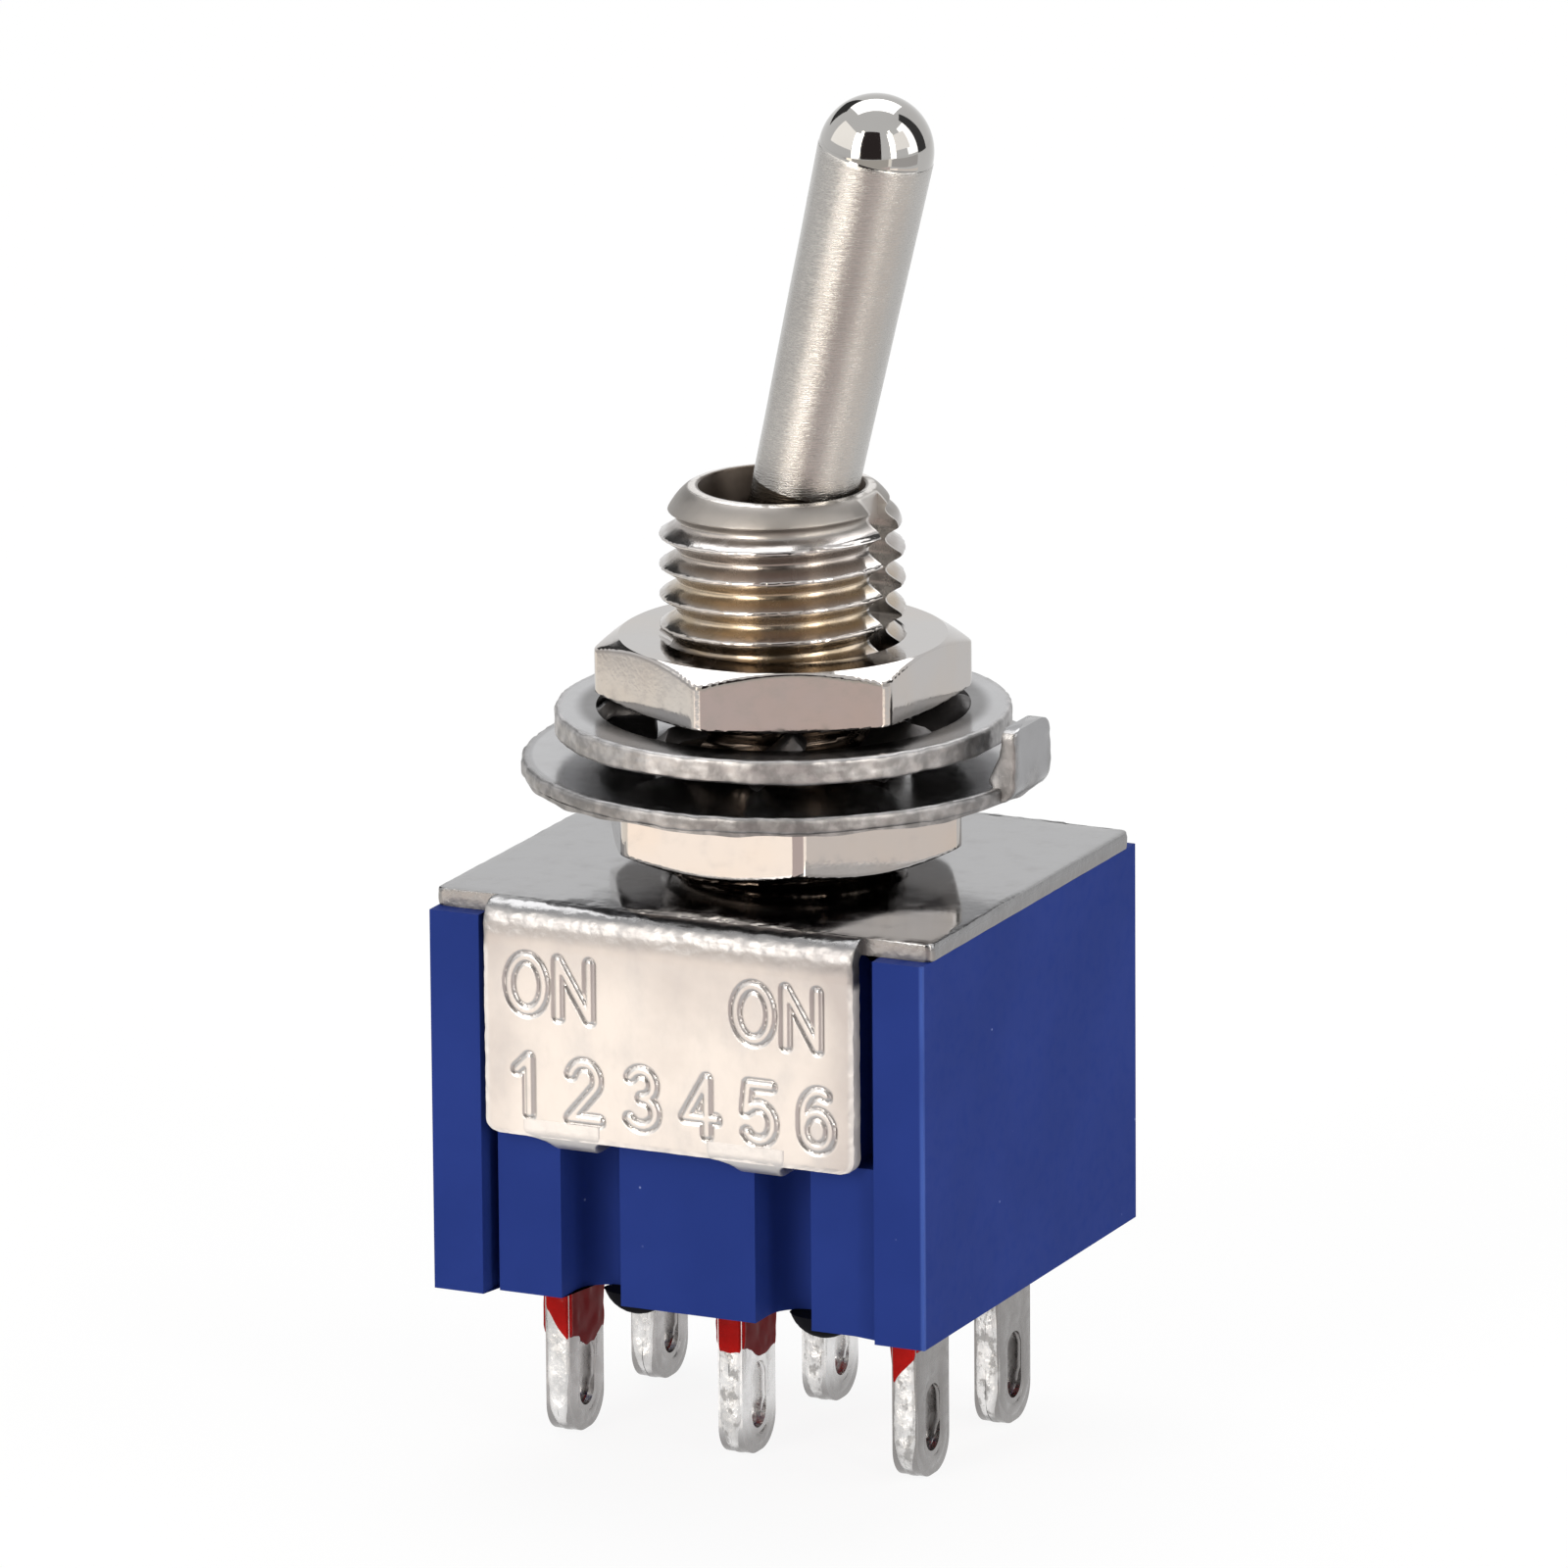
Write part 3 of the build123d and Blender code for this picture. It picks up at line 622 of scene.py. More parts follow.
def edge_wear(grid, out, low, high, seed):
    """Uneven cut edge: the rim moves in and out, and its lower lip hangs in waves."""
    radial = 0.035 * rough(grid * (1, 1, 0.6), 0.55, seed) + 0.015 * noise(grid, 0.13, seed + 3)
    flat = np.linalg.norm(grid[..., :2], axis=-1, keepdims=True)
    at_rim = step_up(flat[..., 0], out - 0.2, out - 0.02)
    lip = 1 - step_up(grid[..., 2], low, low + 0.12)
    top = step_up(grid[..., 2], high - 0.12, high)
    drop = at_rim * (0.05 * noise(grid, 0.8, seed + 5) * lip + 0.02 * noise(grid, 0.3, seed) * top)
    moved = grid + grid / np.maximum(flat, 0.1) * (1, 1, 0) * (radial * at_rim)[..., None]
    moved[..., 2] += np.clip(drop, -0.02, 0.05)
    return moved, at_rim


def ring(hole, out, low, high, radius):
    """Closed profile of a flat ring, rounded at its outer edges and finely divided there."""
    fine = divided(filleted([(hole, low), (out, low), (out, high), (hole, high)],
                            [0, radius, radius, 0.03], 4, closed=True), 0.05)
    keep = (fine[:, 0] > out - 0.35) | (np.arange(len(fine)) % 8 == 0)
    keep[[0, -1]] = True
    return fine[keep]


def washers():
    """The locating washer with its bent tab and the lock washer with its twisted teeth."""
    out, low, high = 6.4, -0.4, 0.0
    angle = full_circle(420)
    grid, torn = edge_wear(turned(ring(3.1, out, low, high, 0.11), angle), out, low, high, 11)
    lip = 0.09 + 0.045 * rough(polar(out, angle, 0), 1.1, 13)
    burr_r = np.array([6.15, 6.36, 6.36, 6.30, 6.20, 6.15])[:, None]
    hang = np.array([0, 0.05, 1, 1.15, 0.6, 0])[:, None]
    burr = polar(burr_r, angle, low + 0.04 - hang * lip)
    tab, tab_torn = bent_tab()
    key = key_block()
    marks = ("torn", [torn, np.ones(burr.shape[:2]), tab_torn, np.zeros(key.shape[:2])])
    surface("locating_ring", [grid, burr, tab, key], washer_finish,
            ["locating_washer"], marks=marks)
    out, low, high = 5.6, 0.605, 1.215
    angle = full_circle(400)
    grid, torn = edge_wear(turned(ring(4.5, out, low, high, 0.1), angle), out, low, high, 23)
    teeth = [tooth(i) for i in range(8)]
    marks = ("torn", [torn] + [np.ones(t.shape[:2]) for t in teeth])
    surface("lock_ring", [grid, *teeth], washer_finish, ["lock_washer"],
            marks=marks)


def bent_tab():
    """A strip from the ring, bent up. Its loop of section runs along the bent path."""
    top, half, front_r, back_r, out = 1.44, 1.05, 0.22, 0.5, 6.7
    path = divided(filleted([(5.2, -0.2), (6.5, -0.2), (6.5, top)], [0, 0.3, 0], 10), 0.07)
    way = unit(np.gradient(path, axis=0))
    across, thick = divided(rounded_box(2 * half, 0.39, 0.07, 2), 0.12).T
    left = top - path[:, 1:]
    inset = np.where(across > 0, corner_inset(back_r, left), corner_inset(front_r, left))
    z = path[:, 1:] - thick * way[:, :1]
    hollow = 0.34 * (thick < 0) * np.exp(-(((z - 0.1) / 0.5) ** 2))
    x = path[:, :1] + (thick - hollow) * way[:, 1:]
    grid = capped(np.stack([x, across * (1 - inset / half), z], -1))
    bend = np.exp(-((np.linalg.norm(grid - (6.35, 0, -0.1), axis=-1) / 0.5) ** 2))
    side = np.clip((np.abs(grid[..., 1]) - 0.8) / 0.3, 0, 1)
    torn = np.clip(bend + side, 0, 1)
    grid[..., 0] = np.minimum(grid[..., 0] + 0.05 * rough(grid, 0.3, 31) * torn, out)
    return grid, torn


def key_block():
    """The washer's key in the keyway, a short bar with a rounded section."""
    x = np.array([2.4, 2.4, 3.15, 3.15])[:, None]
    size = np.array([0, 1, 1, 0])[:, None]
    y, z = rounded_box(1.0, 0.4, 0.05, 2).T[:, None] * size
    return np.stack(np.broadcast_arrays(x, y, z - 0.2), -1)


def tooth(i):
    """A tooth of the lock washer: a bar from the rim inwards that twists as it leaves the rim."""
    rim, length, low, high = 4.75, 1.63, 0.01, 1.49
    rows = np.linspace(0, 1, 16)[:, None]
    twist = np.radians(41.5) * step_up(rows, 0.05, 0.45)
    size = (rows > 0) & (rows < 1)
    across, up = divided(rounded_box(1.6, 0.5, 0.08, 2), 0.2).T[:, None] * size
    y = across * np.cos(twist) - up * np.sin(twist)
    z = across * np.sin(twist) + up * np.cos(twist)
    x = rim - length * np.clip((rows - 1 / 15) / (13 / 15), 0, 1) + 0 * y
    grid = np.stack([x, y, z + 0.88 - 0.13 * step_up(rows, 0, 0.4)], -1)
    grid += 0.03 * rough(grid, 0.3, 40 + i)[..., None]
    grid[..., 2] = np.clip(grid[..., 2], low, high)
    a = TAU / 8 * (i + 0.5)
    c, s = np.cos(a), np.sin(a)
    return grid @ np.array([[c, s, 0], [-s, c, 0], [0, 0, 1]])


# Bracket


def stroke_distance(x, z, strokes):
    """Distance on the flap from each point to the nearest piece of the strokes' lines."""
    nearest = np.full(x.shape, 9.0)
    for line in strokes:
        for (ax, az), (bx, bz) in zip(line[:-1], line[1:]):
            dx, dz = bx - ax, bz - az
            t = np.clip(((x - ax) * dx + (z - az) * dz) / (dx * dx + dz * dz), 0, 1)
            nearest = np.minimum(nearest, np.hypot(x - ax - t * dx, z - az - t * dz))
    return nearest


def bow(cx, cz, rx, rz, start, end, count=14):
    """Points of part of an ellipse, from one angle in degrees to another."""
    a = np.radians(np.linspace(start, end, count))
    return list(zip(cx + rx * np.cos(a), cz + rz * np.sin(a)))


GLYPHS = {
    "O": [bow(0, 0, 0.47, 0.68, 0, 360, 32)],
    "N": [[(-0.42, -0.7), (-0.42, 0.7), (0.42, -0.7), (0.42, 0.7)]],
    "1": [[(-0.24, 0.38), (0.08, 0.7), (0.08, -0.7)]],
    "2": [bow(0, 0.32, 0.36, 0.38, 165, -38) + [(-0.38, -0.7), (0.4, -0.7)]],
    "3": [bow(-0.02, 0.36, 0.33, 0.34, 150, -88) + bow(-0.02, -0.34, 0.38, 0.36, 88, -150)],
    "4": [[(0.18, -0.7), (0.18, 0.7), (-0.4, -0.3), (0.42, -0.3)]],
    "5": [[(0.34, 0.7), (-0.26, 0.7), (-0.33, 0.04)] + bow(0, -0.25, 0.39, 0.45, 130, -145)],
    "6": [bow(0.05, 0.1, 0.42, 0.6, 62, 180) + bow(0, -0.26, 0.37, 0.44, 180, -180, 24)],
}


def lettering():
    """The strokes pressed into the front flap: a word at each end, and a row of plain numbers."""
    placed = [("O", -3.91, -4.70), ("N", -2.64, -4.72), ("O", 2.17, -4.76), ("N", 3.46, -4.76)]
    placed += [(digit, -3.95 + 1.56 * i, -7.25) for i, digit in enumerate("123456")]
    return [[(x + px, z + pz) for px, pz in line] for glyph, x, z in placed
            for line in GLYPHS[glyph]]


def pressed(distance):
    """Height of a pressed stroke: a low plateau with a narrow groove along both of its sides."""
    plateau = 0.022 * (1 - step_up(distance, 0.09, 0.15))
    return plateau - 0.05 * np.exp(-(((distance - 0.125) / 0.036) ** 2))


def bracket():
    """One bent sheet. A section loop across X runs along the bent path from flap to flap.

    Rows follow the path up the front flap, round the bend, over the top and down the rear.
    The half width of each row gives the ears, their round corners and the flaps' feet.
    """
    half, ear, ear_y, ear_round, foot_round = 4.98, 6.67, 5.8, 0.2, 0.35
    bend_y, bend_z, bend_r, sheet = 5.83, -3.3, 0.6, 0.45
    up = np.hstack([flap_foot + foot_round * np.sin(np.linspace(0, np.pi / 2, 12)),
                    np.arange(flap_foot + foot_round + 0.03, -3.32, 0.034)])
    a = np.linspace(0, np.pi / 2, 26)[1:]
    c = np.linspace(0, np.pi / 2, 8)

    def front_half(depth):
        """Rows of (y, z, half width) to the middle of the top, at a depth in the sheet."""
        r = bend_r - depth
        parts = [(-bend_y - r, up, half - corner_inset(foot_round, up - flap_foot)),
                 (-bend_y - r * np.cos(a), bend_z + r * np.sin(a), half),
                 (np.linspace(-bend_y, -ear_y, 8)[1:], bend_z + r, half),
                 (ear_round - ear_y - ear_round * np.cos(c), bend_z + r,
                  ear - ear_round + ear_round * np.sin(c)),
                 (np.linspace(ear_round - ear_y, 0, 22)[1:], bend_z + r, ear)]
        return np.concatenate([np.stack(np.broadcast_arrays(*part), 1) for part in parts])

    outer, inner = front_half(0), front_half(sheet)
    # The rear half is the front one mirrored, with half of the rows on its bare flap.
    back = np.arange(len(outer) - 2, -1, -1)
    back = np.delete(back, slice(len(back) - len(up) + 3, -12, 2))
    outer, inner = (np.concatenate([half_way, half_way[back] * (-1, 1, 1)])
                    for half_way in (outer, inner))

    across = np.linspace(1, -1, 270)
    edge = np.linspace(0, np.pi, 9)
    under = np.linspace(-1, 1, 12)
    u = np.hstack([across, 0 * edge - 1, under, 0 * edge + 1, 1])
    depth = np.hstack([0 * across, (1 - np.cos(edge)) / 2, 0 * under + 1, (1 + np.cos(edge)) / 2, 0])
    bulge = np.hstack([0 * across, np.sin(edge), 0 * under, np.sin(edge), 0])
    soft, flap_shift, rim = 0.07, 0.13, 0.12
    half_w = outer[:, 2:]
    x = u * (half_w - soft) + np.sign(u) * soft * bulge**0.6
    x -= flap_shift * (1 - step_up(half_w, half, ear))
    y, z = (outer[:, i:i + 1] * (1 - depth) + inner[:, i:i + 1] * depth for i in (0, 1))
    grid = np.stack([x, y, z], -1)

    out = unit(outer[:, :2] - inner[:, :2])[:, None]
    path_y, path_z = np.abs(outer[:, :1]), outer[:, 1:2]
    on_front = outer[:, :1] < -6.4
    face = slice(len(across))
    text = np.zeros(x.shape)
    text[:, face] = pressed(stroke_distance(x[:, face], z[:, face], lettering())) * on_front
    bend_here = step_up(path_y, 5.5, 5.9) * step_up(path_z, -3.7, -3.35)
    cut = np.clip((np.abs(u) * half_w - (half_w - rim)) / rim, 0, 1)
    foot = 1 - step_up(path_z, flap_foot, flap_foot + rim)
    torn = np.clip(bend_here * 0.8 + cut * 0.8 + foot * 0.6 + bulge, 0, 1)
    lift = text - 0.012 * (1 + rough(grid, 0.3, 51)) * bend_here
    lift -= 0.012 * (1 + rough(grid, 0.16, 57)) * np.clip(cut + foot, 0, 1)
    lift -= 0.006 * (1 + noise(grid, 2.2, 59)) * on_front
    lift -= 0.022 * (1 - step_up(path_z, -3.8, -3.4)) * on_front
    grid[..., 1:] += (lift * (1 - depth) ** 2)[..., None] * out
    grid[..., 0] -= np.sign(u) * 0.02 * (1 + rough(grid, 0.22, 61)) * bulge
    grid = np.concatenate([closed_end(grid[0]), grid, closed_end(grid[-1])])
    torn = np.pad(torn, ((1, 1), (0, 0)), constant_values=1)
    surface("bracket_sheet", [grid], sheet_finish, ["frame_bracket"], sharp=40,
            marks=("torn", [torn]))
    hooks = [hook(side, middle) for side in (-1, 1) for middle in (-2.75, 2.2)]
    surface("bracket_hooks", hooks, sheet_finish,
            marks=("torn", [np.full(tab.shape[:2], 0.35) for tab in hooks]))


def closed_end(row):
    """A row folded flat on itself, which closes the end of a section loop."""
    folded = row.copy()
    folded[:, 1:] = row[:, 1:].mean(0)
    return folded[None]


def hook(side, middle):
    """A tab that leaves the flap's foot with a fillet each side and curls in under the case."""
    narrow, flare_left, flare_right = 0.60, 0.85, 0.25
    path = divided(filleted([(6.2, -8.1), (6.2, -8.68), (5.03, -8.68)], [0, 0.33, 0], 10), 0.025)
    way = unit(np.gradient(path, axis=0))
    flare = np.exp(-np.maximum(flap_foot + 0.07 - path[:, 1:], 0) / 0.055)
    across, thick = divided(rounded_box(2, 0.43, 0.16, 4), 0.15).T
    x = middle + across * (narrow + np.where(across < 0, flare_left, flare_right) * flare)
    y = path[:, :1] + thick * way[:, 1:]
    z = path[:, 1:] - thick * way[:, :1]
    return capped(np.stack([x, side * y, z], -1))


# Case


def case_outline():
    """Rows of x, y below the flaps' foot and y beside the flaps, once round the case.

    The two outlines differ only in y, so the ledges between them are flat. The front half is
    mirrored to make the rear half.
    """
    corner, pillar, slot, side = 6.25, 5.27, 4.97, 4.6
    panel, slot_floor, recess, groove_y, groove_deep = 5.95, 5.3, 4.9, 5.2, 0.8
    front = [(-case_half, corner, corner), (-pillar, corner, corner), (-pillar, slot_floor, recess),
             (-slot, slot_floor, recess), (-slot, panel, recess), (-side, panel, recess),
             (-side, panel, panel)]
    for middle, wide in ((-2.48, 0.80), (2.70, 0.75)):
        bowl = [(middle + wide * np.cos(a), groove_y - groove_deep * np.sin(a), panel)
                for a in np.linspace(np.pi, 0, 17)]
        front += [(middle - wide, panel, panel), *bowl, (middle + wide, panel, panel)]
    front += [(side, panel, panel), (side, panel, recess), (pillar, panel, recess),
              (pillar, corner, corner), (case_half, corner, corner)]
    front = np.array(front) * (1, -1, -1)
    return np.concatenate([front, front[::-1] * (1, -1, -1), front[:1]])


def case():
    """Walls of the case from its two outlines, a pocket in its foot, and rounded edges."""
    loop = case_outline()
    low, high = loop[:, [0, 1]], loop[:, [0, 2]]
    pocket = np.stack([low[:, 0] * pocket_half_x / case_half,
                       np.sign(low[:, 1]) * pocket_half_y], 1)
    middle, ceiling, top = 0 * low, -12.05, plate_foot - 0.005
    rows = [(middle, ceiling), (pocket, ceiling), (pocket, case_foot), (low, case_foot),
            (low, shoulder), (high, shoulder), (high, top), (high * 0.8, top), (middle, top)]
    grid = np.stack([np.insert(outline, 2, z, axis=1) for outline, z in rows])
    # The corner pillars reach a little lower than the panels.
    grid[3, :, 2] -= 0.05 * (np.abs(low[:, 0]) > 5.1)
    piece = surface("case_shell", [grid], case_plastic(), ["housing"], sharp=30)
    edges = piece.modifiers.new("edges", "BEVEL")
    edges.width, edges.segments, edges.limit_method = 0.00011, 3, "ANGLE"
    edges.angle_limit = np.radians(50)
    edges.harden_normals = True


# Lugs and resin

column_pitch, row_pitch = 4.7, 4.8
LUGS = [(f"{row}_{column}", x * column_pitch, y * row_pitch / 2, 10 * i + j)
        for i, (row, y) in enumerate((("front", -1), ("rear", 1)))
        for j, (column, x) in enumerate((("left", -1), ("middle", 0), ("right", 1)))]


def lug(place_x, place_y, seed):
    """Tin over a blade with an eye: a section that runs right round the eye.

    The first parameter goes round the eye from its edge to the blade's edge along rays from the
    eye's middle, and the second goes across the blade's thickness and back.
    """
    tip, lowest, eye_low, eye_high = -17.155, -17.14, -16.5, -14.88
    blade_half, eye_half, half_thick, top = 0.975, 0.36, 0.352, -12.3
    middle = (eye_low + eye_high) / 2
    ray = np.hstack([np.linspace(-90, 50, 60), np.linspace(52, 128, 24), np.linspace(130, 270, 60)])
    ray = np.radians(ray)[:, None]
    dy, dz = np.cos(ray), np.sin(ray)
    outer = ray_length(dy, dz, blade_half, tip - middle, top - middle, (0.82, 0))
    inner = ray_length(dy, dz, eye_half, eye_low - middle, eye_high - middle, (0.355, 0.355))
    t = full_circle(40)
    power = 0.42 + 0.5 * step_up(-dz, 0.35, 0.9)
    wave, thick = (np.sign(w) * np.abs(w) ** power for w in (np.cos(t), np.sin(t)))
    share = (1 - wave) / 2
    reach = inner * share + outer * (1 - share)
    near_edge = np.minimum(np.abs(reach - outer), np.abs(reach - inner))
    x, y = thick * half_thick, reach * dy
    grid = np.stack([x, y, middle + reach * dz], -1)
    narrow = np.clip(1 - near_edge / 0.10, 0, 1) * step_up(np.abs(y), 0.7, 0.85)
    shifted = grid + (seed, 2 * seed, 3 * seed)
    swell = 0.022 * rough(shifted, 0.7, seed) + 0.012 * rough(shifted, 0.22, seed + 1) * narrow
    grid[..., 0] += np.sign(x) * np.clip(swell, -0.015, 0.05)
    grid[..., 1] *= 1 + 0.02 * noise(shifted, 0.5, seed + 2) * step_up(np.abs(y), 0.5, 0.9)
    grid[..., 2] = np.maximum(grid[..., 2], lowest)
    return grid + (place_x, place_y, 0), narrow


def ray_length(dy, dz, half, low, high, radii):
    """How far a ray from the middle runs to a box, with the corners' radii at low and at high."""
    with np.errstate(divide="ignore"):
        side = half / np.abs(dy)
    end = np.where(dz > 0, high, low) / np.where(np.abs(dz) < 1e-9, 1e-9, dz)
    reach = np.minimum(side, end)
    y, z = reach * dy, reach * dz
    for radius, centre_z, way in zip(radii, (low + radii[0], high - radii[1]), (-1, 1)):
        centre_y = half - radius
        b = np.abs(dy) * centre_y + dz * centre_z
        c = centre_y**2 + centre_z**2 - radius**2
        arc = b + np.sqrt(np.maximum(b * b - c, 0))
        reach = np.where((np.abs(y) > centre_y) & (way * (z - centre_z) > 0), arc, reach)
    return reach


def lugs():
    """Tin coats round the six blades, which stay as they are inside them."""
    for name, x, y, seed in LUGS:
        grid, narrow = lug(x, y, seed + 3)
        surface(f"lug_tin_{name}", [grid], tin_finish, marks=("narrow", [narrow]))


def collar(place_x, place_y, seed, lip):
    """Resin round a blade's root. Its loop runs down the blade and ends in an uneven lip."""
    loop = divided(rounded_box(0.66, 1.91, 0.06, 2), 0.06)
    x, y = loop.T
    far = np.stack([x + seed, y, 0 * x], 1)
    front, rear, slant = lip
    run = front + (rear - front) * (y + 0.95) / 1.9 + slant * (x / 0.33 - 1) * (y < -0.9) / 2
    run += 0.16 * np.cos(y * 2.4) * (np.abs(x) > 0.3) - 0.1 * rough(far, 0.5, seed)
    s = np.linspace(0, 1, 26)[:, None]
    root = case_foot + 0.1
    z = root * (1 - s) + (case_foot - run) * s
    thick = 0.05 + 0.3 * np.exp((z - root) / 0.16)
    thick = thick * np.sqrt(np.clip((1 - s) / 0.12, 0, 1)) + 0.008
    out = np.stack([np.sign(x) * (np.abs(x) > 0.325), np.sign(y) * (np.abs(y) > 0.945)], -1)
    grid = np.stack(np.broadcast_arrays(x, y, z), -1)
    grid[..., :2] += thick[..., None] * out
    lumps = rough(grid + (seed, 0, 0), 0.45, seed + 2) * 0.03 * np.clip((1 - s) / 0.1, 0, 1)
    grid[..., :2] += lumps[..., None] * out
    film = (np.abs(x) > 0.32) * step_up(np.abs(0.95 - np.abs(y)), 0.02, 0.1)
    film = np.pad(film * (0.85 + 0.15 * s), ((1, 1), (0, 0)), "edge")
    return capped(grid) + (place_x, place_y, 0), film


def painted_shade_bead(x, y):
    """A drop of resin under the case beside a groove, black as painted shade: an ellipsoid with its
    top cut off.
    """
    up = np.linspace(-np.pi / 2, np.pi / 2, 17)[:, None]
    height = np.minimum(0.2 + 0.76 * np.sin(up), 0.02)
    return polar(np.cos(up), full_circle(32), height) * (0.87, 0.50, 1) + (x, y, case_foot)


def resin():
    """The resin in the pocket of the case's foot and the collars round the blades' roots."""
    gap, lid_z = 0.01, -12.1
    half_x, half_y = pocket_half_x - gap, pocket_half_y - gap
    t = np.linspace(0, 1, 14)[:, None, None]
    loop = divided(rounded_box(2 * half_x, 2 * half_y, 0.06), 0.2)
    flat = np.insert(loop * t, 2, 0, axis=2)
    to_wall = np.minimum(half_x - np.abs(flat[..., 0]), half_y - np.abs(flat[..., 1]))
    sag = 0.045 + 0.05 * np.exp(-to_wall / 0.25)
    flat[..., 2] = case_foot + 0.10 - sag + 0.02 * rough(flat, 1.1, 71)
    slab = np.concatenate([flat, flat[::-1] * (1, 1, 0) + (0, 0, lid_z)])
    grids, films = [slab], [np.zeros(slab.shape[:2])]
    lips = [(1.95, 2.20, 0.8), (1.62, 2.05, 0.0), (1.27, 0.3, -0.72), (1.5, 1.1, 0.2),
            (1.5, 1.2, 0.0), (0.9, 0.6, 0.3)]
    for (_, x, y, seed), lip in zip(LUGS, lips):
        grid, film = collar(x, y, seed + 5, lip)
        grids.append(grid)
        films.append(film)
    # Beads of resin, marked 2, come out black: painted shade.
    for x in (-1.87, 3.15):
        grids.append(painted_shade_bead(x, -4.66))
        films.append(np.full(grids[-1].shape[:2], 2.0))
    surface("resin_fill", grids, cast_resin(), ["epoxy_seal"], marks=("film", films))


lever()
bushing()
nut("nut_upper", 1.5, 3.0, (0.12, 0.3), 28.4, "upper_nut", 4.04, 0.38, 81)
nut("nut_lower", -2.2, -0.4, (0.3, 0.12), -0.2, "lower_nut", 4.16, 0.5, 85)
washers()
bracket()
case()
lugs()
resin()

# Solids that are shown as they are, by the first word that their name holds
inner_finishes = {
    "spring": plain("spring_wire", (0.5, 0.5, 0.5), 0.25, 1.0),
    "plunger": plain("carrier_nylon", (0.80, 0.77, 0.70), 0.4),
    "terminal": tin_finish,
    "": plain("contact_silver", (0.75, 0.75, 0.73), 0.2, 1.0),
}
for name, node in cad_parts.items():
    if not node.hide_render:
        finish = next(finish for word, finish in inner_finishes.items() if word in name)
        node.data.materials.clear()
        node.data.materials.append(finish)


# Camera, light and ground


def add_camera():
    """The photograph's view: direction, distance and roll as fitted, with a long lens."""
    data = bpy.data.cameras.new("camera")
    data.lens, data.sensor_width, data.clip_start, data.clip_end = 353.81, 36, 0.02, 20
    camera = in_scene("camera", data)
    right = Vector((0.90391242, 0.42764811, -0.00770852))
    up = Vector((-0.10296926, 0.23506606, 0.96650984))
    back = Vector((0.41513812, -0.87284652, 0.25651374))
    turn = Matrix((right, up, back)).transposed()
    camera.matrix_world = Matrix.Translation((0.15634268, -0.32872377, 0.09578388)) @ turn.to_4x4()
    bpy.context.scene.camera = camera


def lamp(name, azimuth, elevation, size, watts, tint):
    """A soft box that faces the switch from half a metre away."""
    place = around(azimuth, elevation, 0.5)
    data = bpy.data.lights.new(name, "AREA")
    data.shape, data.size, data.size_y = "RECTANGLE", *size
    data.energy, data.color = watts, tint
    turn = place.to_track_quat("Z", "Y").to_matrix().to_4x4()
    in_scene(name, data).matrix_world = Matrix.Translation(place) @ turn


def studio_world(fill):
    """White where it is seen, in gloss too, and an even pale light on the surfaces."""
    world = bpy.data.worlds.new("studio")
    bpy.context.scene.world = world
    nodes = Nodes(world)
    background = nodes.tree.nodes["Background"].inputs
    background["Color"].default_value = (1, 1, 1, 1)
    nodes.tree.links.new((nodes.seen() * (1 - fill) + fill).socket, background["Strength"])


def stage_sheet(name, corners):
    """A flat four-cornered sheet of the studio, in metres, with its material's nodes."""
    mesh = bpy.data.meshes.new(name)
    mesh.from_pydata(corners, [], [(0, 1, 2, 3)])
    material = bpy.data.materials.new(name)
    mesh.materials.append(material)
    sheet = in_scene(name, mesh)
    return sheet, Nodes(material)


def ground():
    """A pale floor at the lugs' tips. Where it is seen it is nearly white, with a faint shadow."""
    half, z = 1.5, -0.01716
    corners = [(-half, -half, z), (half, -half, z), (half, half, z), (-half, half, z)]
    nodes = stage_sheet("floor", corners)[1]
    shader = nodes.tree.nodes["Principled BSDF"]
    shader.inputs["Base Color"].default_value = (0.86, 0.86, 0.86, 1)
    shader.inputs["Roughness"].default_value = 0.9
    glow = nodes.node("ShaderNodeEmission")
    nodes.show(nodes.node("ShaderNodeMixShader", _0=nodes.seen() * 0.9, _1=shader.outputs[0],
                          _2=glow.outputs[0]))


def around(azimuth, elevation, distance):
    """A place in metres. Azimuth 0 is in front of the front flap and 90 at the keyway's side."""
    a, e = np.radians(azimuth), np.radians(elevation)
    return Vector((np.sin(a) * np.cos(e), -np.cos(a) * np.cos(e), np.sin(e))) * distance


def card(name, azimuths, elevations, distances, tint, height=0.0):
    """A grey, dark or glowing card that only gloss on the switch shows, between two azimuths.

    Its lower edge has the first elevation and distance, and its upper edge the second.
    """
    (left, right), (low, high), (near, far) = azimuths, elevations, distances
    places = [(left, low, near), (right, low, near), (right, high, far), (left, high, far)]
    sheet, nodes = stage_sheet(name, [around(*place) + Vector((0, 0, height)) for place in places])
    nodes.show(nodes.node("ShaderNodeEmission", Color=(*tint, 1)))
    sheet.visible_camera = sheet.visible_diffuse = sheet.visible_shadow = False


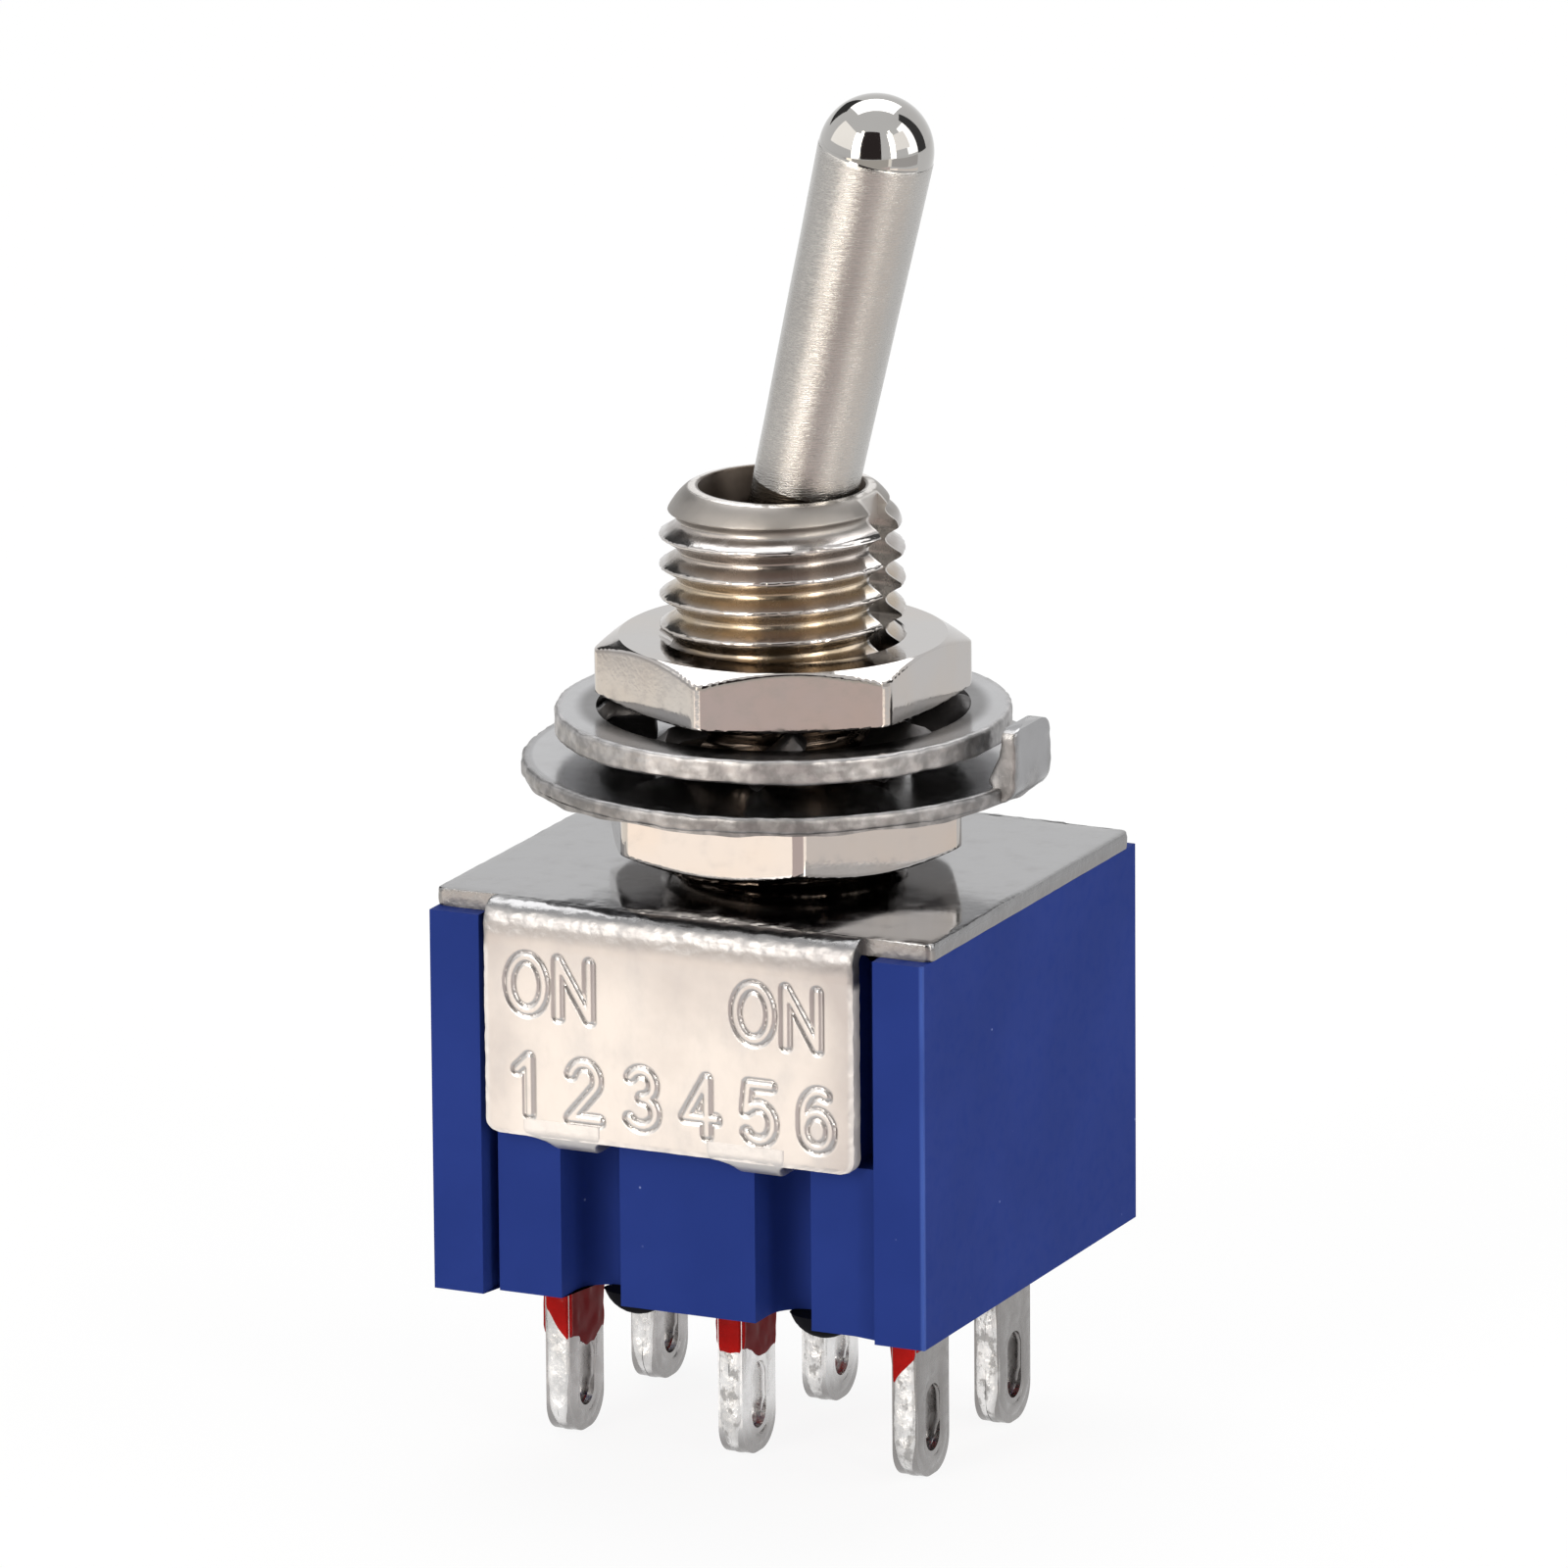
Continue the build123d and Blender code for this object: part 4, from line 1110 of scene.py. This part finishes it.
add_camera()
studio_world(0.42)
ground()
white, warm = (1, 1, 1), (1.0, 0.96, 0.91)
lamp("box_left", -17, 20, (0.14, 0.45), 1.4, warm)
lamp("box_right", 60, 20, (0.09, 0.45), 0.8, warm)
lamp("box_side", 105, 25, (0.25, 0.45), 0.62, white)
lamp("box_top", 205, 62, (0.5, 0.34), 1.5, white)
for name, azimuths, elevations, distance, tint in (
    ("card_front", (-6, 36), (-2, 50), 0.45, (0.05, 0.04, 0.04)),
    ("card_left", (-140, -112), (15, 40), 0.45, (0.06, 0.06, 0.06)),
    ("card_right", (116, 142), (-1, 55), 0.45, (0.08, 0.08, 0.08)),
    ("glow_left", (-84, -27), (12, 44), 0.45, (1.9, 1.85, 1.78)),
    ("glow_right", (66, 98), (12, 40), 0.45, (1.7, 1.65, 1.6)),
    ("glint_left", (-14, -8), (2, 50), 0.44, (13, 12, 10.5)),
    ("glint_right", (59, 64), (2, 50), 0.44, (13, 12, 10.5)),
):
    card(name, azimuths, elevations, (distance, distance), tint)
floor_card_z = -0.0170
for name, azimuths, reach, tint in (
    ("apron_side_left", (-115, -52), (0.025, 0.1), (1.37, 1.31, 1.21)),
    ("apron_left", (-52, -4), (0.025, 0.082), (2.1, 1.87, 1.66)),
    ("apron_middle", (-4, 54), (0.030, 0.1), (0.94, 0.79, 0.75)),
    ("apron_right", (54, 70), (0.030, 0.082), (2.0, 1.8, 1.62)),
    ("apron_side", (70, 120), (0.030, 0.082), (1.2, 1.1, 1.02)),
    ("streak_far_left", (-115, -36), (0.1, 0.45), (0.70, 0.68, 0.67)),
    ("streak_left", (-35, -24), (0.1, 0.45), (2.7, 2.45, 2.1)),
    ("streak_middle", (-23, 50), (0.1, 0.45), (0.74, 0.70, 0.65)),
    ("streak_right", (50, 56), (0.1, 0.45), (1.5, 1.42, 1.3)),
    ("streak_far_right", (57, 115), (0.1, 0.45), (0.70, 0.68, 0.67)),
):
    card(name, azimuths, (0, 0), reach, tint, floor_card_z)

bpy.context.scene.view_settings.view_transform = "Standard"
